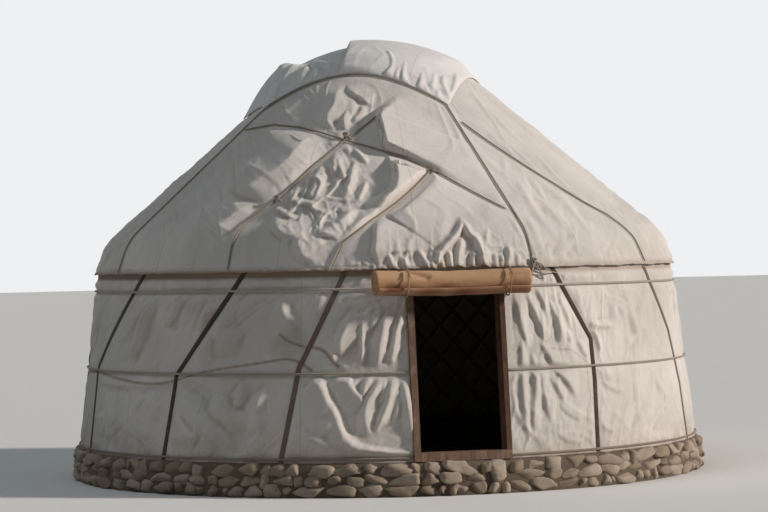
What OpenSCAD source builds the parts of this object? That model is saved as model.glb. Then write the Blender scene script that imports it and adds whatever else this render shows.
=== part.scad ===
// Bent-pole felt yurt on a low dry-stone plinth, with a lattice wall, a plain timber
// door frame, a wooden crown and white canvas covers held down by ropes and straps.
// Millimetres, +Z up. Origin: the centre of the plinth's underside. The door faces -Y.
// Angles round the yurt are measured from the door, positive towards +X.

/* [Plinth] */
// height of the stone ring above the ground
plinth_h = 280; // [200:10:420]
// how far the stone ring stands out past the lattice's foot
plinth_ledge = 100; // [96:2:180]
// radial width of the stone ring
plinth_w = 460; // [380:10:600]
// how far the outer face leans in over its height
plinth_batter = 14; // [0:2:30]

/* [Lattice wall] */
// how far the lattice's top stands over the door frame's top
lattice_over_frame = 0; // [-20:5:40]
// radius of the lattice's outer face at its foot
foot_r = 2785; // [2600:5:2900]
// lean of the wall, inwards from the vertical
wall_lean = 7; // [4:0.5:10]
// width of a lath
lath_w = 32; // [24:1:40]
// thickness of a lath
lath_t = 13; // [9:1:16]
// height of the laths' heads above their top crossing
lath_head = 85; // [75:5:95]
// laths each way in one section
laths_per_section = 11; // [10:1:12]
// angle from the door's middle to the first crossing of the lattice
lattice_start_angle = 10.6; // [10.2:0.1:12]

/* [Door frame] */
// clear width between the posts
door_w = 690; // [600:10:760]
// clear height from the threshold to the lintel
door_h = 1340; // [1200:10:1400]
// width of a post seen from the front
post_w = 65; // [50:5:80]
// depth of the frame from front to back
frame_d = 95; // [70:5:120]
// height of the threshold
sill_h = 70; // [40:5:110]
// height of the lintel
lintel_h = 90; // [70:5:120]
// how far the frame's face stands in front of the wall cover
frame_proud = 6; // [2:1:20]
// width of the rebate for a door in the posts and the lintel
rebate_w = 22; // [10:2:30]
// depth of the rebate from the frame's face
rebate_d = 44; // [30:2:55]

/* [Roof poles] */
// thickness of a roof pole
pole_d = 32; // [26:1:38]
// height from a pole's foot to the corner of its bend
pole_rise = 320; // [280:10:400]
// radius of the bend on a pole's centre line
pole_bend = 450; // [340:10:510]
// slope of the roof from the level
roof_pitch = 40.6; // [37:0.2:44]
// poles that stand on the lintel
lintel_poles = 3; // [2:1:4]

/* [Crown] */
// outer radius of the crown ring
crown_r = 760; // [700:10:820]
// radial width of the crown ring
crown_w = 70; // [60:5:90]
// height of the crown ring
crown_h = 92; // [80:2:120]
// thickness of a pole's tip
tip_d = 24; // [20:1:26]
// clearance of a pole's tip in its socket, all round
tip_gap = 0.4; // [0.2:0.1:0.8]
// height of the domed laths over the ring
crown_rise = 170; // [160:5:260]
// width of a crown lath
crown_lath_w = 34; // [24:2:44]
// thickness of a crown lath
crown_lath_t = 18; // [12:1:24]
// distance between the crown laths
crown_lath_pitch = 150; // [100:10:180]

/* [Covers] */
// thickness of one layer of felt and canvas
cover_t = 14; // [8:1:20]
// clearance between a cover and what carries it
cover_gap = 0.5; // [0.3:0.1:0.9]
// how far the wall covers reach over the lattice's top, up under the roof covers
wall_cover_over = 80; // [40:5:95]
// height of the roof covers' hem over the lattice's top
hem_over = 60; // [20:5:90]
// slope of the roof covers' skirt, from the vertical
skirt_angle = 20; // [17:1:29]
// distance of the roof covers' upper edge from the crown ring
roof_top_gap = 40; // [20:5:80]
// angle of the front roof cover's right-hand edge
right_edge_angle = 16; // [13:1:24]
// angle of the front roof cover's left-hand edge
left_edge_angle = -74; // [-80:1:-66]
// width of a lap between roof covers, as an angle
lap_angle = 5; // [3:1:8]
// half the side of the square crown cover
crown_cover_half = 870; // [830:10:900]
// how far the crown cover's slack left corner swells up
crown_swell = 190; // [0:10:240]
// how far that corner is pulled out past the square
crown_pull = 330; // [0:10:380]

/* [Door flap] */
// length of the rolled door flap
roll_len = 1300; // [1100:20:1400]
// thickness of the rolled door flap
roll_d = 230; // [180:2:236]
// distance of the roll's centre under the door frame's top
roll_drop = 50; // [30:5:60]
// how far the roll lies to the left of the door's middle
roll_shift = 55; // [0:5:90]

/* [Ropes and straps] */
// thickness of a rope
rope_d = 18; // [12:1:24]
// thickness of the ties round the door flap
tie_d = 12; // [8:1:14]
// width of a woven strap
strap_w = 42; // [30:2:60]
// thickness of a woven strap
strap_t = 5; // [4:1:8]
// height of the lowest wall rope above the plinth
low_rope_z = 30; // [25:5:60]
// height of the middle wall rope above the plinth
mid_rope_z = 720; // [600:10:850]
// distance of the highest wall rope under the lattice's top
high_rope_drop = 95; // [90:5:120]

/* [Hidden] */
$fn = 240;
eps = 0.01;
sections = 5;

timber = [0.50, 0.30, 0.17];
pale_timber = [0.66, 0.50, 0.33];
canvas = [0.90, 0.89, 0.85];
flap = [0.70, 0.60, 0.45];
rope_colour = [0.35, 0.30, 0.25];
strap_colour = [0.25, 0.18, 0.15];
stone = [0.55, 0.53, 0.50];

frame_h = sill_h + door_h + lintel_h;
wall_h = frame_h + lattice_over_frame;
wall_cover_top = wall_h + wall_cover_over;
roof_hem_z = wall_h + hem_over;
roll_z = frame_h - roll_drop;
high_rope_z = wall_h - high_rope_drop;

// lattice
lean_t = tan(wall_lean);
function lattice_r(z) = foot_r - z * lean_t;
lattice_pitch = (360 - 2 * lattice_start_angle) / (sections * laths_per_section);
layer_overlap = 0.5;
// a lath climbs from mid_z at its middle to its top crossing over two pitches, which
// gives its slope; the top crossings carry the poles
mid_z = wall_h * 0.527;
mid_r = lattice_r(mid_z);
top_cross_z = wall_h - lath_head;
climb = top_cross_z - mid_z;
two = 2 * lattice_pitch;
lath_slope = atan(
  (climb * (lean_t * sin(wall_lean) * cos(two) + cos(wall_lean)) + mid_r * sin(wall_lean) * (1 - cos(two)))
  / (sin(two) * (mid_r - climb * lean_t)));
seat_h = (pole_d / 2 + lath_w / 2 / sin(lath_slope)) * tan(lath_slope) + cover_gap;
pole_foot_z = top_cross_z + seat_h;
lattice_t = 2 * lath_t - layer_overlap;

// wall cover: it follows the lattice, and swells a little over the poles' feet
swell_low = pole_foot_z - 30;
swell_high = pole_foot_z - 8;
function cover_swell(z) =
  (pole_d - lattice_t) / 2 / cos(wall_lean) * max(0, min(1, (z - swell_low) / (swell_high - swell_low)));
function cover_in_r(z) = lattice_r(z) + cover_gap / cos(wall_lean) + cover_swell(z);
function cover_r(z) = cover_in_r(z) + cover_t / cos(wall_lean);

// poles: a straight foot that follows the wall, a bend, and a straight run to the crown
pole_foot_r = lattice_r(pole_foot_z) - lattice_t / 2 / cos(wall_lean);
knee_z = pole_foot_z + pole_rise;
knee_r = pole_foot_r - pole_rise * lean_t;
turn = 90 - wall_lean - roof_pitch;
knee_cut = pole_bend * tan(turn / 2);
bend_r = knee_r + knee_cut * sin(wall_lean) - pole_bend * cos(wall_lean);
bend_z = knee_z - knee_cut * cos(wall_lean) - pole_bend * sin(wall_lean);
function pole_z(r) = knee_z + (knee_r - r) * tan(roof_pitch);
crown_mid_r = crown_r - crown_w / 2;
crown_mid_z = pole_z(crown_mid_r);
crown_top_z = crown_mid_z + crown_h / 2;
tip_len = 150;
tip_end_r = crown_r - crown_w + 12;

pole_step = 0.4;

plinth_r = foot_r + plinth_ledge;
roof_top_r = crown_r + roof_top_gap;

// doorway
frame_w = door_w + 2 * post_w;
frame_y = cover_r(0) + frame_proud;
function frame_face(z) = frame_y - z * lean_t;
frame_side = frame_w / 2 + cover_gap;
function beside_frame(r) = asin(frame_side / r);

// where the poles stand
lattice_poles = [for (i = [0 : sections * laths_per_section]) lattice_start_angle + i * lattice_pitch];
door_poles = [for (i = [0 : lintel_poles - 1])
  (i - (lintel_poles - 1) / 2) * 2 * lattice_start_angle / (lintel_poles + 1)];

// outer surface of the roof at a distance o from the poles' centre line, radius at height z
skirt_r = bend_r + pole_bend * cos(skirt_angle);
skirt_z = bend_z + pole_bend * sin(skirt_angle);
function roof_r(z, o) =
  z < bend_z + (pole_bend + o) * sin(skirt_angle)
    ? bend_r + (pole_bend + o) * cos(skirt_angle)
      + (bend_z + (pole_bend + o) * sin(skirt_angle) - z) * tan(skirt_angle)
  : z < bend_z + (pole_bend + o) * cos(roof_pitch)
    ? bend_r + sqrt(pow(pole_bend + o, 2) - pow(z - bend_z, 2))
  : knee_r - (z - knee_z - o / cos(roof_pitch)) / tan(roof_pitch);
function roof_z(r, o) = pole_z(r) + o / cos(roof_pitch);
under_o = pole_d / 2 - pole_step + 0.6 * cover_gap;
side_o = under_o + cover_t;
front_o = side_o + cover_gap + cover_t;

// profile of a roof cover between two distances from the poles' centre line
function bend_points(o, n = 7) = [for (i = [0 : n])
  let (a = skirt_angle + (90 - roof_pitch - skirt_angle) * i / n)
  [bend_r + (pole_bend + o) * cos(a), bend_z + (pole_bend + o) * sin(a)]];
function roof_line(o) = concat(
  [[roof_r(roof_hem_z, o), roof_hem_z]],
  bend_points(o),
  [[roof_top_r, roof_z(roof_top_r, o)]]);
function back_to_front(v) = [for (i = [len(v) - 1 : -1 : 0]) v[i]];

// ropes and straps
rope_r = rope_d / 2;
rest_gap = 0.3;
function unit(v) = v / norm(v);
function at(a, r, z) = [r * sin(a), -r * cos(a), z + plinth_h];
// a route is pairs of an angle and a height, on the roof as a share of the way from the hem to
// the crown; each leg is split so that it follows the curved cover
function legs(route, n) = [for (i = [0 : len(route) - 2]) for (k = [0 : n - 1])
  route[i] + (route[i + 1] - route[i]) * k / n, route[len(route) - 1]];
function roof_share(u) = roof_hem_z + u * (roof_z(crown_r, side_o) - roof_hem_z);
function on_roof(route, n, o) = [for (p = legs(route, n))
  at(p[0], roof_r(roof_share(p[1]), o), roof_share(p[1]))];
function down_roof(a, r, o) = concat(
  [at(a, r, roof_z(r, o))],
  [for (p = back_to_front(bend_points(o, 5))) at(a, p[0], p[1])],
  [at(a, roof_r(roof_hem_z + 8, o), roof_hem_z + 8)]);
function on_wall(route, n, o) = [for (p = legs(route, n))
  at(p[0], cover_r(p[1]) + o / cos(wall_lean), p[1])];
function tangent(p, i) = unit(p[min(i + 1, len(p) - 1)] - p[max(i - 1, 0)]);
function outward(p, rise) = unit([p[0], p[1], rise * norm([p[0], p[1]])]);
function ring_at(p, i, shape, rise) =
  let (t = tangent(p, i), o = outward(p[i], rise), n = unit(o - (o * t) * t), b = cross(t, n))
  [for (s = shape) p[i] + n * s[0] + b * s[1]];
// rise is how much the surface under the route faces up
module sweep(p, shape, rise) {
  n = len(shape);
  m = len(p);
  polyhedron(
    points = [for (i = [0 : m - 1]) each ring_at(p, i, shape, rise)],
    faces = concat(
      [[for (k = [0 : n - 1]) k]],
      [for (i = [0 : m - 2]) for (k = [0 : n - 1]) each [
        [i * n + k, (i + 1) * n + k, i * n + (k + 1) % n],
        [(i + 1) * n + k, (i + 1) * n + (k + 1) % n, i * n + (k + 1) % n]]],
      [[for (k = [n - 1 : -1 : 0]) (m - 1) * n + k]]));
}
function rope_shape(r, n = 6) = [for (k = [0 : n - 1]) [r * cos(-360 * k / n), r * sin(-360 * k / n)]];
strap_shape = [[0, strap_w / 2], [strap_t, strap_w / 2], [strap_t, -strap_w / 2], [0, -strap_w / 2]];

module arc(a0, a1) {
  rotate_extrude(start = a0 - 90, angle = a1 - a0) children();
}

// one quarter of the stone ring
module plinth_part(a0, a1) {
  color(stone) arc(a0, a1)
    polygon([[plinth_r - plinth_w, 0], [plinth_r, 0],
             [plinth_r - plinth_batter, plinth_h], [plinth_r - plinth_w, plinth_h]]);
}
module plinth_front() { plinth_part(-45, 45); }
module plinth_right() { plinth_part(45, 135); }
module plinth_back() { plinth_part(135, 225); }
module plinth_left() { plinth_part(225, 315); }

// a piece of the door frame between two heights, leaning with the wall
module frame_piece(x, w, z0, z1) {
  color(timber) translate([x, 0, plinth_h]) rotate([90, 0, 90]) linear_extrude(height = w)
    polygon([[-frame_face(z0), z0], [-frame_face(z0) + frame_d, z0],
             [-frame_face(z1) + frame_d, z1], [-frame_face(z1), z1]]);
}
module door_threshold() { frame_piece(-frame_w / 2, frame_w, 0, sill_h); }
// the rebate that a door would close into, cut round the opening from the front
module rebate() {
  z1 = sill_h + door_h + rebate_w;
  translate([-door_w / 2 - rebate_w, 0, plinth_h]) rotate([90, 0, 90])
    linear_extrude(height = door_w + 2 * rebate_w)
      polygon([[-frame_face(sill_h) - 10, sill_h], [-frame_face(sill_h) + rebate_d, sill_h],
               [-frame_face(z1) + rebate_d, z1], [-frame_face(z1) - 10, z1]]);
}
module door_post_left() {
  difference() { frame_piece(-frame_w / 2, post_w, sill_h, sill_h + door_h); rebate(); }
}
module door_post_right() {
  difference() { frame_piece(door_w / 2, post_w, sill_h, sill_h + door_h); rebate(); }
}
module door_lintel() {
  difference() { frame_piece(-frame_w / 2, frame_w, sill_h + door_h, frame_h); rebate(); }
}

// one layer of a lattice section: curved laths cut from a leaning shell by slanted slabs
module lath_layer(a0, a1, inner, outer, side) {
  n = round((a1 - a0) / lattice_pitch);
  intersection() {
    arc(a0, a1) polygon([[foot_r - outer, 0], [foot_r - inner, 0],
      [lattice_r(wall_h) - inner, wall_h], [lattice_r(wall_h) - outer, wall_h]]);
    for (i = [-3 : n + 3])
      rotate([0, 0, lattice_base(a0) + i * lattice_pitch]) translate([0, -mid_r, mid_z])
        rotate([-wall_lean, 0, 0]) rotate([0, -side * lath_slope, 0])
          cube([1.2 * mid_r, 0.2 * mid_r, lath_w], center = true);
  }
}
function lattice_base(a) = lattice_start_angle + floor((a - lattice_start_angle) / lattice_pitch + 0.5) * lattice_pitch;
module lattice_section(k) {
  end_gap = 0.85;
  a0 = lattice_start_angle + (k - 1) * laths_per_section * lattice_pitch;
  a1 = a0 + laths_per_section * lattice_pitch;
  b0 = k == 1 ? a0 - end_gap : a0 + eps;
  b1 = k == sections ? a1 + end_gap : a1 - eps;
  color(pale_timber) translate([0, 0, plinth_h]) {
    lath_layer(b0, b1, 0, lath_t / cos(wall_lean), 1);
    lath_layer(b0, b1, (lath_t - layer_overlap) / cos(wall_lean), lattice_t / cos(wall_lean), -1);
  }
}
module lattice_section_1() { lattice_section(1); }
module lattice_section_2() { lattice_section(2); }
module lattice_section_3() { lattice_section(3); }
module lattice_section_4() { lattice_section(4); }
module lattice_section_5() { lattice_section(5); }

// a bent roof pole that stands at height foot; it thins in steps from the foot to the tip
module pole(a, foot) {
  foot_at = knee_r + (knee_z - foot) * lean_t;
  lower = (knee_z - foot) / cos(wall_lean) - knee_cut;
  up_r = bend_r + pole_bend * cos(90 - roof_pitch);
  up_z = bend_z + pole_bend * sin(90 - roof_pitch);
  upper = (up_r - crown_r) / cos(roof_pitch) - tip_len;
  tip = (crown_r - tip_end_r) / cos(roof_pitch);
  translate([0, 0, plinth_h]) rotate([0, 0, a - 90]) {
    translate([foot_at, 0, foot]) rotate([0, -wall_lean, 0])
      cylinder(h = lower + 6, d = pole_d, $fn = 72);
    translate([bend_r, 0, bend_z]) rotate([90, 0, 0]) rotate_extrude(start = wall_lean, angle = turn)
      translate([pole_bend, 0]) circle(r = pole_d / 2 - pole_step, $fn = 72);
    translate([up_r, 0, up_z]) rotate([0, roof_pitch - 90, 0]) {
      translate([0, 0, -6]) cylinder(h = upper + 6, r = pole_d / 2 - 2 * pole_step, $fn = 72);
      translate([0, 0, upper])
        cylinder(h = tip_len, r1 = pole_d / 2 - 2 * pole_step, r2 = tip_d / 2, $fn = 72);
      translate([0, 0, upper + tip_len]) cylinder(h = tip, d = tip_d, $fn = 72);
    }
  }
}
module poles_between(a0, a1) {
  color(timber) {
    for (a = lattice_poles) if (a >= a0 && a < a1) pole(a, pole_foot_z);
    for (a = door_poles) if (a >= a0 && a < a1 || a + 360 >= a0 && a + 360 < a1)
      pole(a, frame_h + cover_gap);
    for (a = lattice_poles) if (a - 360 >= a0 && a - 360 < a1) pole(a, pole_foot_z);
  }
}
module roof_poles_front() { poles_between(-45, 45); }
module roof_poles_right() { poles_between(45, 135); }
module roof_poles_back() { poles_between(135, 225); }
module roof_poles_left() { poles_between(225, 315); }

// bent wooden ring with a socket for each pole
module crown_ring() {
  c = 8;
  color(timber) difference() {
    translate([0, 0, plinth_h]) rotate_extrude()
      polygon([[crown_r - crown_w, crown_top_z - crown_h + c], [crown_r - crown_w + c, crown_top_z - crown_h],
               [crown_r - c, crown_top_z - crown_h], [crown_r, crown_top_z - crown_h + c],
               [crown_r, crown_top_z - c], [crown_r - c, crown_top_z],
               [crown_r - crown_w + c, crown_top_z], [crown_r - crown_w, crown_top_z - c]]);
    for (a = concat(lattice_poles, door_poles))
      translate([0, 0, plinth_h]) rotate([0, 0, a - 90]) translate([crown_mid_r, 0, crown_mid_z])
        rotate([0, roof_pitch - 90, 0]) cylinder(h = 2.4 * crown_w, d = tip_d + 2 * tip_gap, center = true, $fn = 72);
  }
}

// two sets of domed laths that cross over the ring
dome_in_r = crown_r - crown_w + 6;
dome_radius = (pow(dome_in_r, 2) + pow(crown_rise, 2)) / (2 * crown_rise);
dome_z = crown_top_z + crown_rise - dome_radius;
module dome_layer(inner, outer) {
  intersection() {
    translate([0, 0, dome_z]) difference() {
      sphere(r = outer);
      sphere(r = inner);
    }
    for (i = [-1 : 1]) translate([i * crown_lath_pitch, 0, crown_top_z + 500])
      cube([crown_lath_w, 2 * (crown_r - 4), 1000], center = true);
  }
}
module crown_laths() {
  color(timber) translate([0, 0, plinth_h]) {
    dome_layer(dome_radius, dome_radius + crown_lath_t);
    rotate([0, 0, 90]) dome_layer(dome_radius + crown_lath_t - layer_overlap, dome_radius + 2 * crown_lath_t);
  }
}

// a length of wall cover that starts at height z0
module wall_cover(a0, a1, z0 = 0) {
  levels = z0 < swell_low ? [z0, swell_low, swell_high, wall_cover_top] : [z0, wall_cover_top];
  color(canvas) translate([0, 0, plinth_h]) arc(a0, a1)
    polygon(concat([for (z = levels) [cover_r(z), z]],
                   [for (z = back_to_front(levels)) [cover_in_r(z), z]]));
}
// room for the door frame between the covers' ends
module frame_room(side) {
  translate([-side, -2 * foot_r, plinth_h - 1]) cube([2 * side, 2 * foot_r, 2 * wall_cover_top]);
}
module wall_cover_over_door() {
  intersection() {
    wall_cover(-2 * lattice_start_angle, 2 * lattice_start_angle, frame_h + cover_gap);
    color(canvas) frame_room(frame_side - rest_gap);
  }
}
module wall_cover_front_right() {
  difference() { wall_cover(2, 95); frame_room(frame_side); }
}
module wall_cover_back_right() { wall_cover(95 + eps, 180); }
module wall_cover_back_left() { wall_cover(180 + eps, 265); }
module wall_cover_front_left() {
  difference() { wall_cover(265 + eps, 358); frame_room(frame_side); }
}

// a roof cover between two angles and two distances from the poles
module roof_cover(a0, a1, inner, outer) {
  color(canvas) translate([0, 0, plinth_h]) arc(a0, a1)
    polygon(concat(roof_line(outer), back_to_front(roof_line(inner))));
}
module roof_cover_front() {
  roof_cover(left_edge_angle + lap_angle, right_edge_angle - lap_angle, under_o, front_o);
  roof_cover(left_edge_angle, left_edge_angle + lap_angle, side_o + cover_gap, front_o);
  roof_cover(right_edge_angle - lap_angle, right_edge_angle, side_o + cover_gap, front_o);
}
module roof_cover_right() {
  roof_cover(right_edge_angle - lap_angle + eps, right_edge_angle + 90, under_o, side_o);
}
module roof_cover_back() {
  roof_cover(right_edge_angle + 90 + eps, left_edge_angle + 270, under_o, side_o);
}
module roof_cover_left() {
  roof_cover(left_edge_angle + 270 + eps, left_edge_angle + 360 + lap_angle - eps, under_o, side_o);
}

// square cover over the crown: domed over the laths, laid down the roof to its edge, with
// its corners at the front cover's edges and the left one slack, swollen and pulled out
crown_edge_mid = (left_edge_angle + right_edge_angle) / 2;
function square_edge(a) =
  let (d = (a - crown_edge_mid + 765) % 90 - 45) crown_cover_half / cos(d);
corner_span = 50;
function from_corner(a) = (left_edge_angle - a) / corner_span;
function crown_edge(a) = square_edge(a)
  + (from_corner(a) > 0 && from_corner(a) < 1 ? crown_pull * pow(sin(180 * from_corner(a)), 2) : 0);
function swell_share(a) =
  let (d = (a - left_edge_angle + 20) / 54) d > -1 && d < 1 ? pow(cos(90 * d), 2) : 0;
crown_lay = crown_r + 4;
dome_rings = 8;
// the cover's flat facets stay clear of the laths under them
dome_over = dome_radius + 2 * crown_lath_t + cover_gap + 1.3;
skirt_rings = 6;
function crown_bed(a) =
  a > left_edge_angle - 1 && a < right_edge_angle + 1 ? front_o : side_o;
// point of the cover's underside (lift 0) or top (lift cover_t) at ring k
function crown_point(a, k, lift) =
  k <= dome_rings
    ? let (r = crown_lay * k / dome_rings)
      at(a, r, dome_z + sqrt(pow(dome_over + lift, 2) - r * r))
    : let (u = (k - dome_rings) / skirt_rings,
           r0 = crown_lay + 70,
           r = r0 + (crown_edge(a) - r0) * (k - dome_rings - 1) / (skirt_rings - 1),
           h = crown_swell * swell_share(a) * pow(sin(180 * pow(u, 0.8) * 0.93), 0.8))
      at(a, r, roof_z(r, crown_bed(a) + cover_gap + lift) + h);
module crown_cover() {
  step = 5;
  turns = [for (a = [left_edge_angle - 1.5 : step : left_edge_angle + 356]) a];
  n = len(turns);
  rings = dome_rings + skirt_rings;
  skin = n * rings;
  function deg(a) = a > right_edge_angle + 2 ? a - 360 : a;
  color(canvas) polyhedron(
    points = concat(
      [for (k = [1 : rings]) for (a = turns) crown_point(deg(a), k, cover_t)],
      [for (k = [1 : rings]) for (a = turns) crown_point(deg(a), k, 0)],
      [crown_point(0, 0, cover_t), crown_point(0, 0, 0)]),
    faces = concat(
      [for (i = [0 : n - 1]) [2 * skin, (i + 1) % n, i]],
      [for (i = [0 : n - 1]) [2 * skin + 1, skin + i, skin + (i + 1) % n]],
      [for (k = [0 : rings - 2]) for (i = [0 : n - 1]) let (j = (i + 1) % n) each [
        [k * n + i, k * n + j, (k + 1) * n + j], [k * n + i, (k + 1) * n + j, (k + 1) * n + i],
        [skin + k * n + i, skin + (k + 1) * n + j, skin + k * n + j],
        [skin + k * n + i, skin + (k + 1) * n + i, skin + (k + 1) * n + j]]],
      [for (i = [0 : n - 1]) let (j = (i + 1) % n, e = (rings - 1) * n) each [
        [e + i, e + j, skin + e + j], [e + i, skin + e + j, skin + e + i]]]));
}

// rolled door flap
roll_y = frame_face(roll_z) + (roll_d / 2 + tie_d + 2 * rest_gap) / cos(wall_lean);
module along_roll(x) { translate([x - roll_shift, -roll_y, plinth_h + roll_z]) rotate([0, 90, 0]) children(); }
module door_flap_roll() {
  c = 14;
  color(flap) along_roll(-roll_len / 2) rotate_extrude()
    polygon([[0, 0], [roll_d / 2 - c, 0], [roll_d / 2, c], [roll_d / 2, roll_len - c],
             [roll_d / 2 - c, roll_len], [0, roll_len]]);
}
module door_flap_ties() {
  color(rope_colour) for (x = [-0.3, 0.36]) along_roll(x * roll_len)
    rotate_extrude($fn = 120) translate([roll_d / 2 + tie_d / 2 + rest_gap, 0]) circle(d = tie_d, $fn = 24);
}

// level ropes round the wall, from post to post
module wall_rope(z) {
  r = cover_r(z) + strap_t + 0.4 + rope_r;
  color(rope_colour) translate([0, 0, plinth_h]) arc(beside_frame(r - rope_r), 360 - beside_frame(r - rope_r))
    translate([r, z]) circle(d = rope_d, $fn = 24);
}
module wall_rope_low() { wall_rope(low_rope_z); }
module wall_rope_middle() { wall_rope(mid_rope_z); }
module wall_rope_high() { wall_rope(high_rope_z); }

// woven straps that run down the wall from under the eave
module strap(a, route) {
  // its head runs on in the line of its first leg, up to under the eave
  slant = (a - route[0][0]) / (swell_low - route[0][1] * wall_h);
  head = [for (z = [strap_top, swell_high, swell_low]) [a + slant * (z - swell_low), z]];
  color(strap_colour) sweep(
    on_wall(concat(head, [for (p = route) [p[0], p[1] * wall_h]]), 6, rest_gap + 0.2),
    strap_shape, lean_t);
}
strap_top = wall_cover_top - 14;
strap_foot = 0.003;
module wall_straps_left() {
  strap(-21, [[-28, 0.51], [-31, strap_foot]]);
  strap(-41, [[-53, 0.47], [-55, strap_foot]]);
  strap(-67, [[-82, 0.49], [-82, strap_foot]]);
}
module wall_straps_right() {
  strap(21, [[27, 0.63], [27, 0.41], [26, strap_foot]]);
  strap(48, [[55, 0.65], [58, 0.33], [58, strap_foot]]);
  strap(78, [[86, 0.47], [87, strap_foot]]);
}
module wall_straps_back() {
  for (a = [112, 146, 180, 214, 248]) strap(a, [[a + 5, 0.5], [a + 5, strap_foot]]);
}

// ropes over the roof
module roof_rope(p) { color(rope_colour) sweep(p, rope_shape(rope_r), 1 / tan(roof_pitch)); }
front_rope_o = front_o + rope_r + rest_gap;
side_rope_o = side_o + rope_r + rest_gap;
corner_r = (crown_cover_half + rope_r + 3) * sqrt(2);
function beside_crown(a) = (crown_cover_half + rope_r + 3) / cos(a - crown_edge_mid);
module roof_ropes_front() {
  right = right_edge_angle - 1;
  left = left_edge_angle + 1;
  // along the crown cover's edge and down from both of its corners
  roof_rope(concat(
    back_to_front(down_roof(right, corner_r, front_rope_o)),
    [for (k = [1 : 19]) let (a = right + (left - right) * k / 20)
      at(a, beside_crown(a), roof_z(beside_crown(a), front_rope_o + 0.5))],
    down_roof(left, corner_r, front_rope_o)));
  // across the front
  roof_rope(on_roof([[-71, 0.70], [-55, 0.717], [-42, 0.695], [-33, 0.663], [-24, 0.62], [-16, 0.582],
    [-6, 0.523], [0, 0.469], [7, 0.367], [13.5, 0.27]], 2, front_rope_o + 0.8));
  // from under the crown down to the left
  roof_rope(on_roof([[-7, 0.809], [-14, 0.744], [-24, 0.62], [-31, 0.496], [-37, 0.334], [-39, 0.28],
    [-41, 0.237], [-41.6, 0.183], [-42, 0.13], [-42, 0.01]], 3, front_rope_o + 0.8));
  // lower strand
  roof_rope(on_roof([[0, 0.469], [-9, 0.32], [-15, 0.225], [-20, 0.13], [-22, 0.01]], 4, front_rope_o + 0.8));
}
module roof_ropes_back() {
  for (a = [right_edge_angle + 90, left_edge_angle + 270])
    roof_rope(down_roof(a, corner_r, side_rope_o));
  roof_rope(on_roof([[17.4, 0.706], [33, 0.404], [38, 0.302], [42, 0.24], [45, 0.13], [46, 0.01]], 4,
    side_rope_o + 0.8));
}

plinth_front();
plinth_right();
plinth_back();
plinth_left();
door_threshold();
door_post_left();
door_post_right();
door_lintel();
lattice_section_1();
lattice_section_2();
lattice_section_3();
lattice_section_4();
lattice_section_5();
roof_poles_front();
roof_poles_right();
roof_poles_back();
roof_poles_left();
crown_ring();
crown_laths();
wall_cover_front_left();
wall_cover_front_right();
wall_cover_back_left();
wall_cover_back_right();
wall_cover_over_door();
roof_cover_front();
roof_cover_right();
roof_cover_back();
roof_cover_left();
crown_cover();
door_flap_roll();
door_flap_ties();
wall_rope_low();
wall_rope_middle();
wall_rope_high();
wall_straps_left();
wall_straps_right();
wall_straps_back();
roof_ropes_front();
roof_ropes_back();
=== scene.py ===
import math

import bmesh
import bpy
import numpy as np
from mathutils import Matrix, Vector


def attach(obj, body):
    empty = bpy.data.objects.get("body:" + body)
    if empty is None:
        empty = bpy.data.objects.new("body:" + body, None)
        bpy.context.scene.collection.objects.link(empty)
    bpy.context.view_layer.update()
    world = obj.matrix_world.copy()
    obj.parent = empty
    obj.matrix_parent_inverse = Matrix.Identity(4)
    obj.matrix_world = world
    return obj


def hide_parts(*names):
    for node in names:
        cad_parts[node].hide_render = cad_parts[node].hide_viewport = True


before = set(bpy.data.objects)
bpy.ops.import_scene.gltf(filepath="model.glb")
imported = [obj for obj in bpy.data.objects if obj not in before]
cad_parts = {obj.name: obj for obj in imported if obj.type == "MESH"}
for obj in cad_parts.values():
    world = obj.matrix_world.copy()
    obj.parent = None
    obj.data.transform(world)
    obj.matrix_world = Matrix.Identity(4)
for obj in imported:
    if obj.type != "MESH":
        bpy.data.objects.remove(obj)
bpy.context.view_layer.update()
GRID_SHARE = 1.0

# Sizes shared with the CAD, in metres. Heights start at the top of the stone ring. Angles start at the door
# and are positive to its right.
PLINTH = 0.280
LEAN, SKIRT, PITCH = math.radians(7), math.radians(20), math.radians(40.6)
ARC = math.pi / 2 - PITCH
WALL_FOOT = 2.79961                  # outer radius of the wall covers at height 0
SWELL_LOW, SWELL_HIGH, SWELL = 1.42807, 1.45007, 0.00327
WALL_TOP, HEM = 1.580, 1.560
BEND_R, BEND_Z, BEND = 2.128460, 1.549987, 0.450
KNEE_R, KNEE_Z = 2.553835, 1.778071
SIDE_O, FRONT_O = 0.0299, 0.0444     # outer faces of the roof covers from the poles' centre line
COVER_TOP_R = 0.80
CROWN_R = 0.760
DOME_R, DOME_Z = 1.509753, 2.051817
CROWN_HALF, COVER_T = 0.870, 0.014
CROWN_TURN = -29                     # the way in which the crown cover's front edge faces
LEFT, RIGHT = -74.0, 16.0            # edges of the front roof cover
ROPE, STRAP_W, STRAP_T = 0.018, 0.042, 0.005
FRAME_SIDE = 0.4105
ROLL_LEN, ROLL_R, ROLL_X, ROLL_Y, ROLL_Z = 1.300, 0.115, -0.055, -2.7561, 1.450
TIE_X = [-0.3 * ROLL_LEN + ROLL_X, 0.36 * ROLL_LEN + ROLL_X]

# Heights of the cloth's own lines: the tie along the roof's hem, and the foot of the hem's folds
HEM_TIE, HEM_FOOT = 1.585, 1.553
HEM_R, ROOF_MID_R, WALL_MID_R = 2.6, 2.54, 2.79    # radii at which widths along a cover are measured
SUCK = 0.0008                        # how far a round draws the cloth back to its form
ROUNDS = (160, 70, 35)               # rounds on the coarse, middle and fine grid
# strength of the painted shade in the hollows between folds
HOLLOW_SHADE = 0.42


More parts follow.
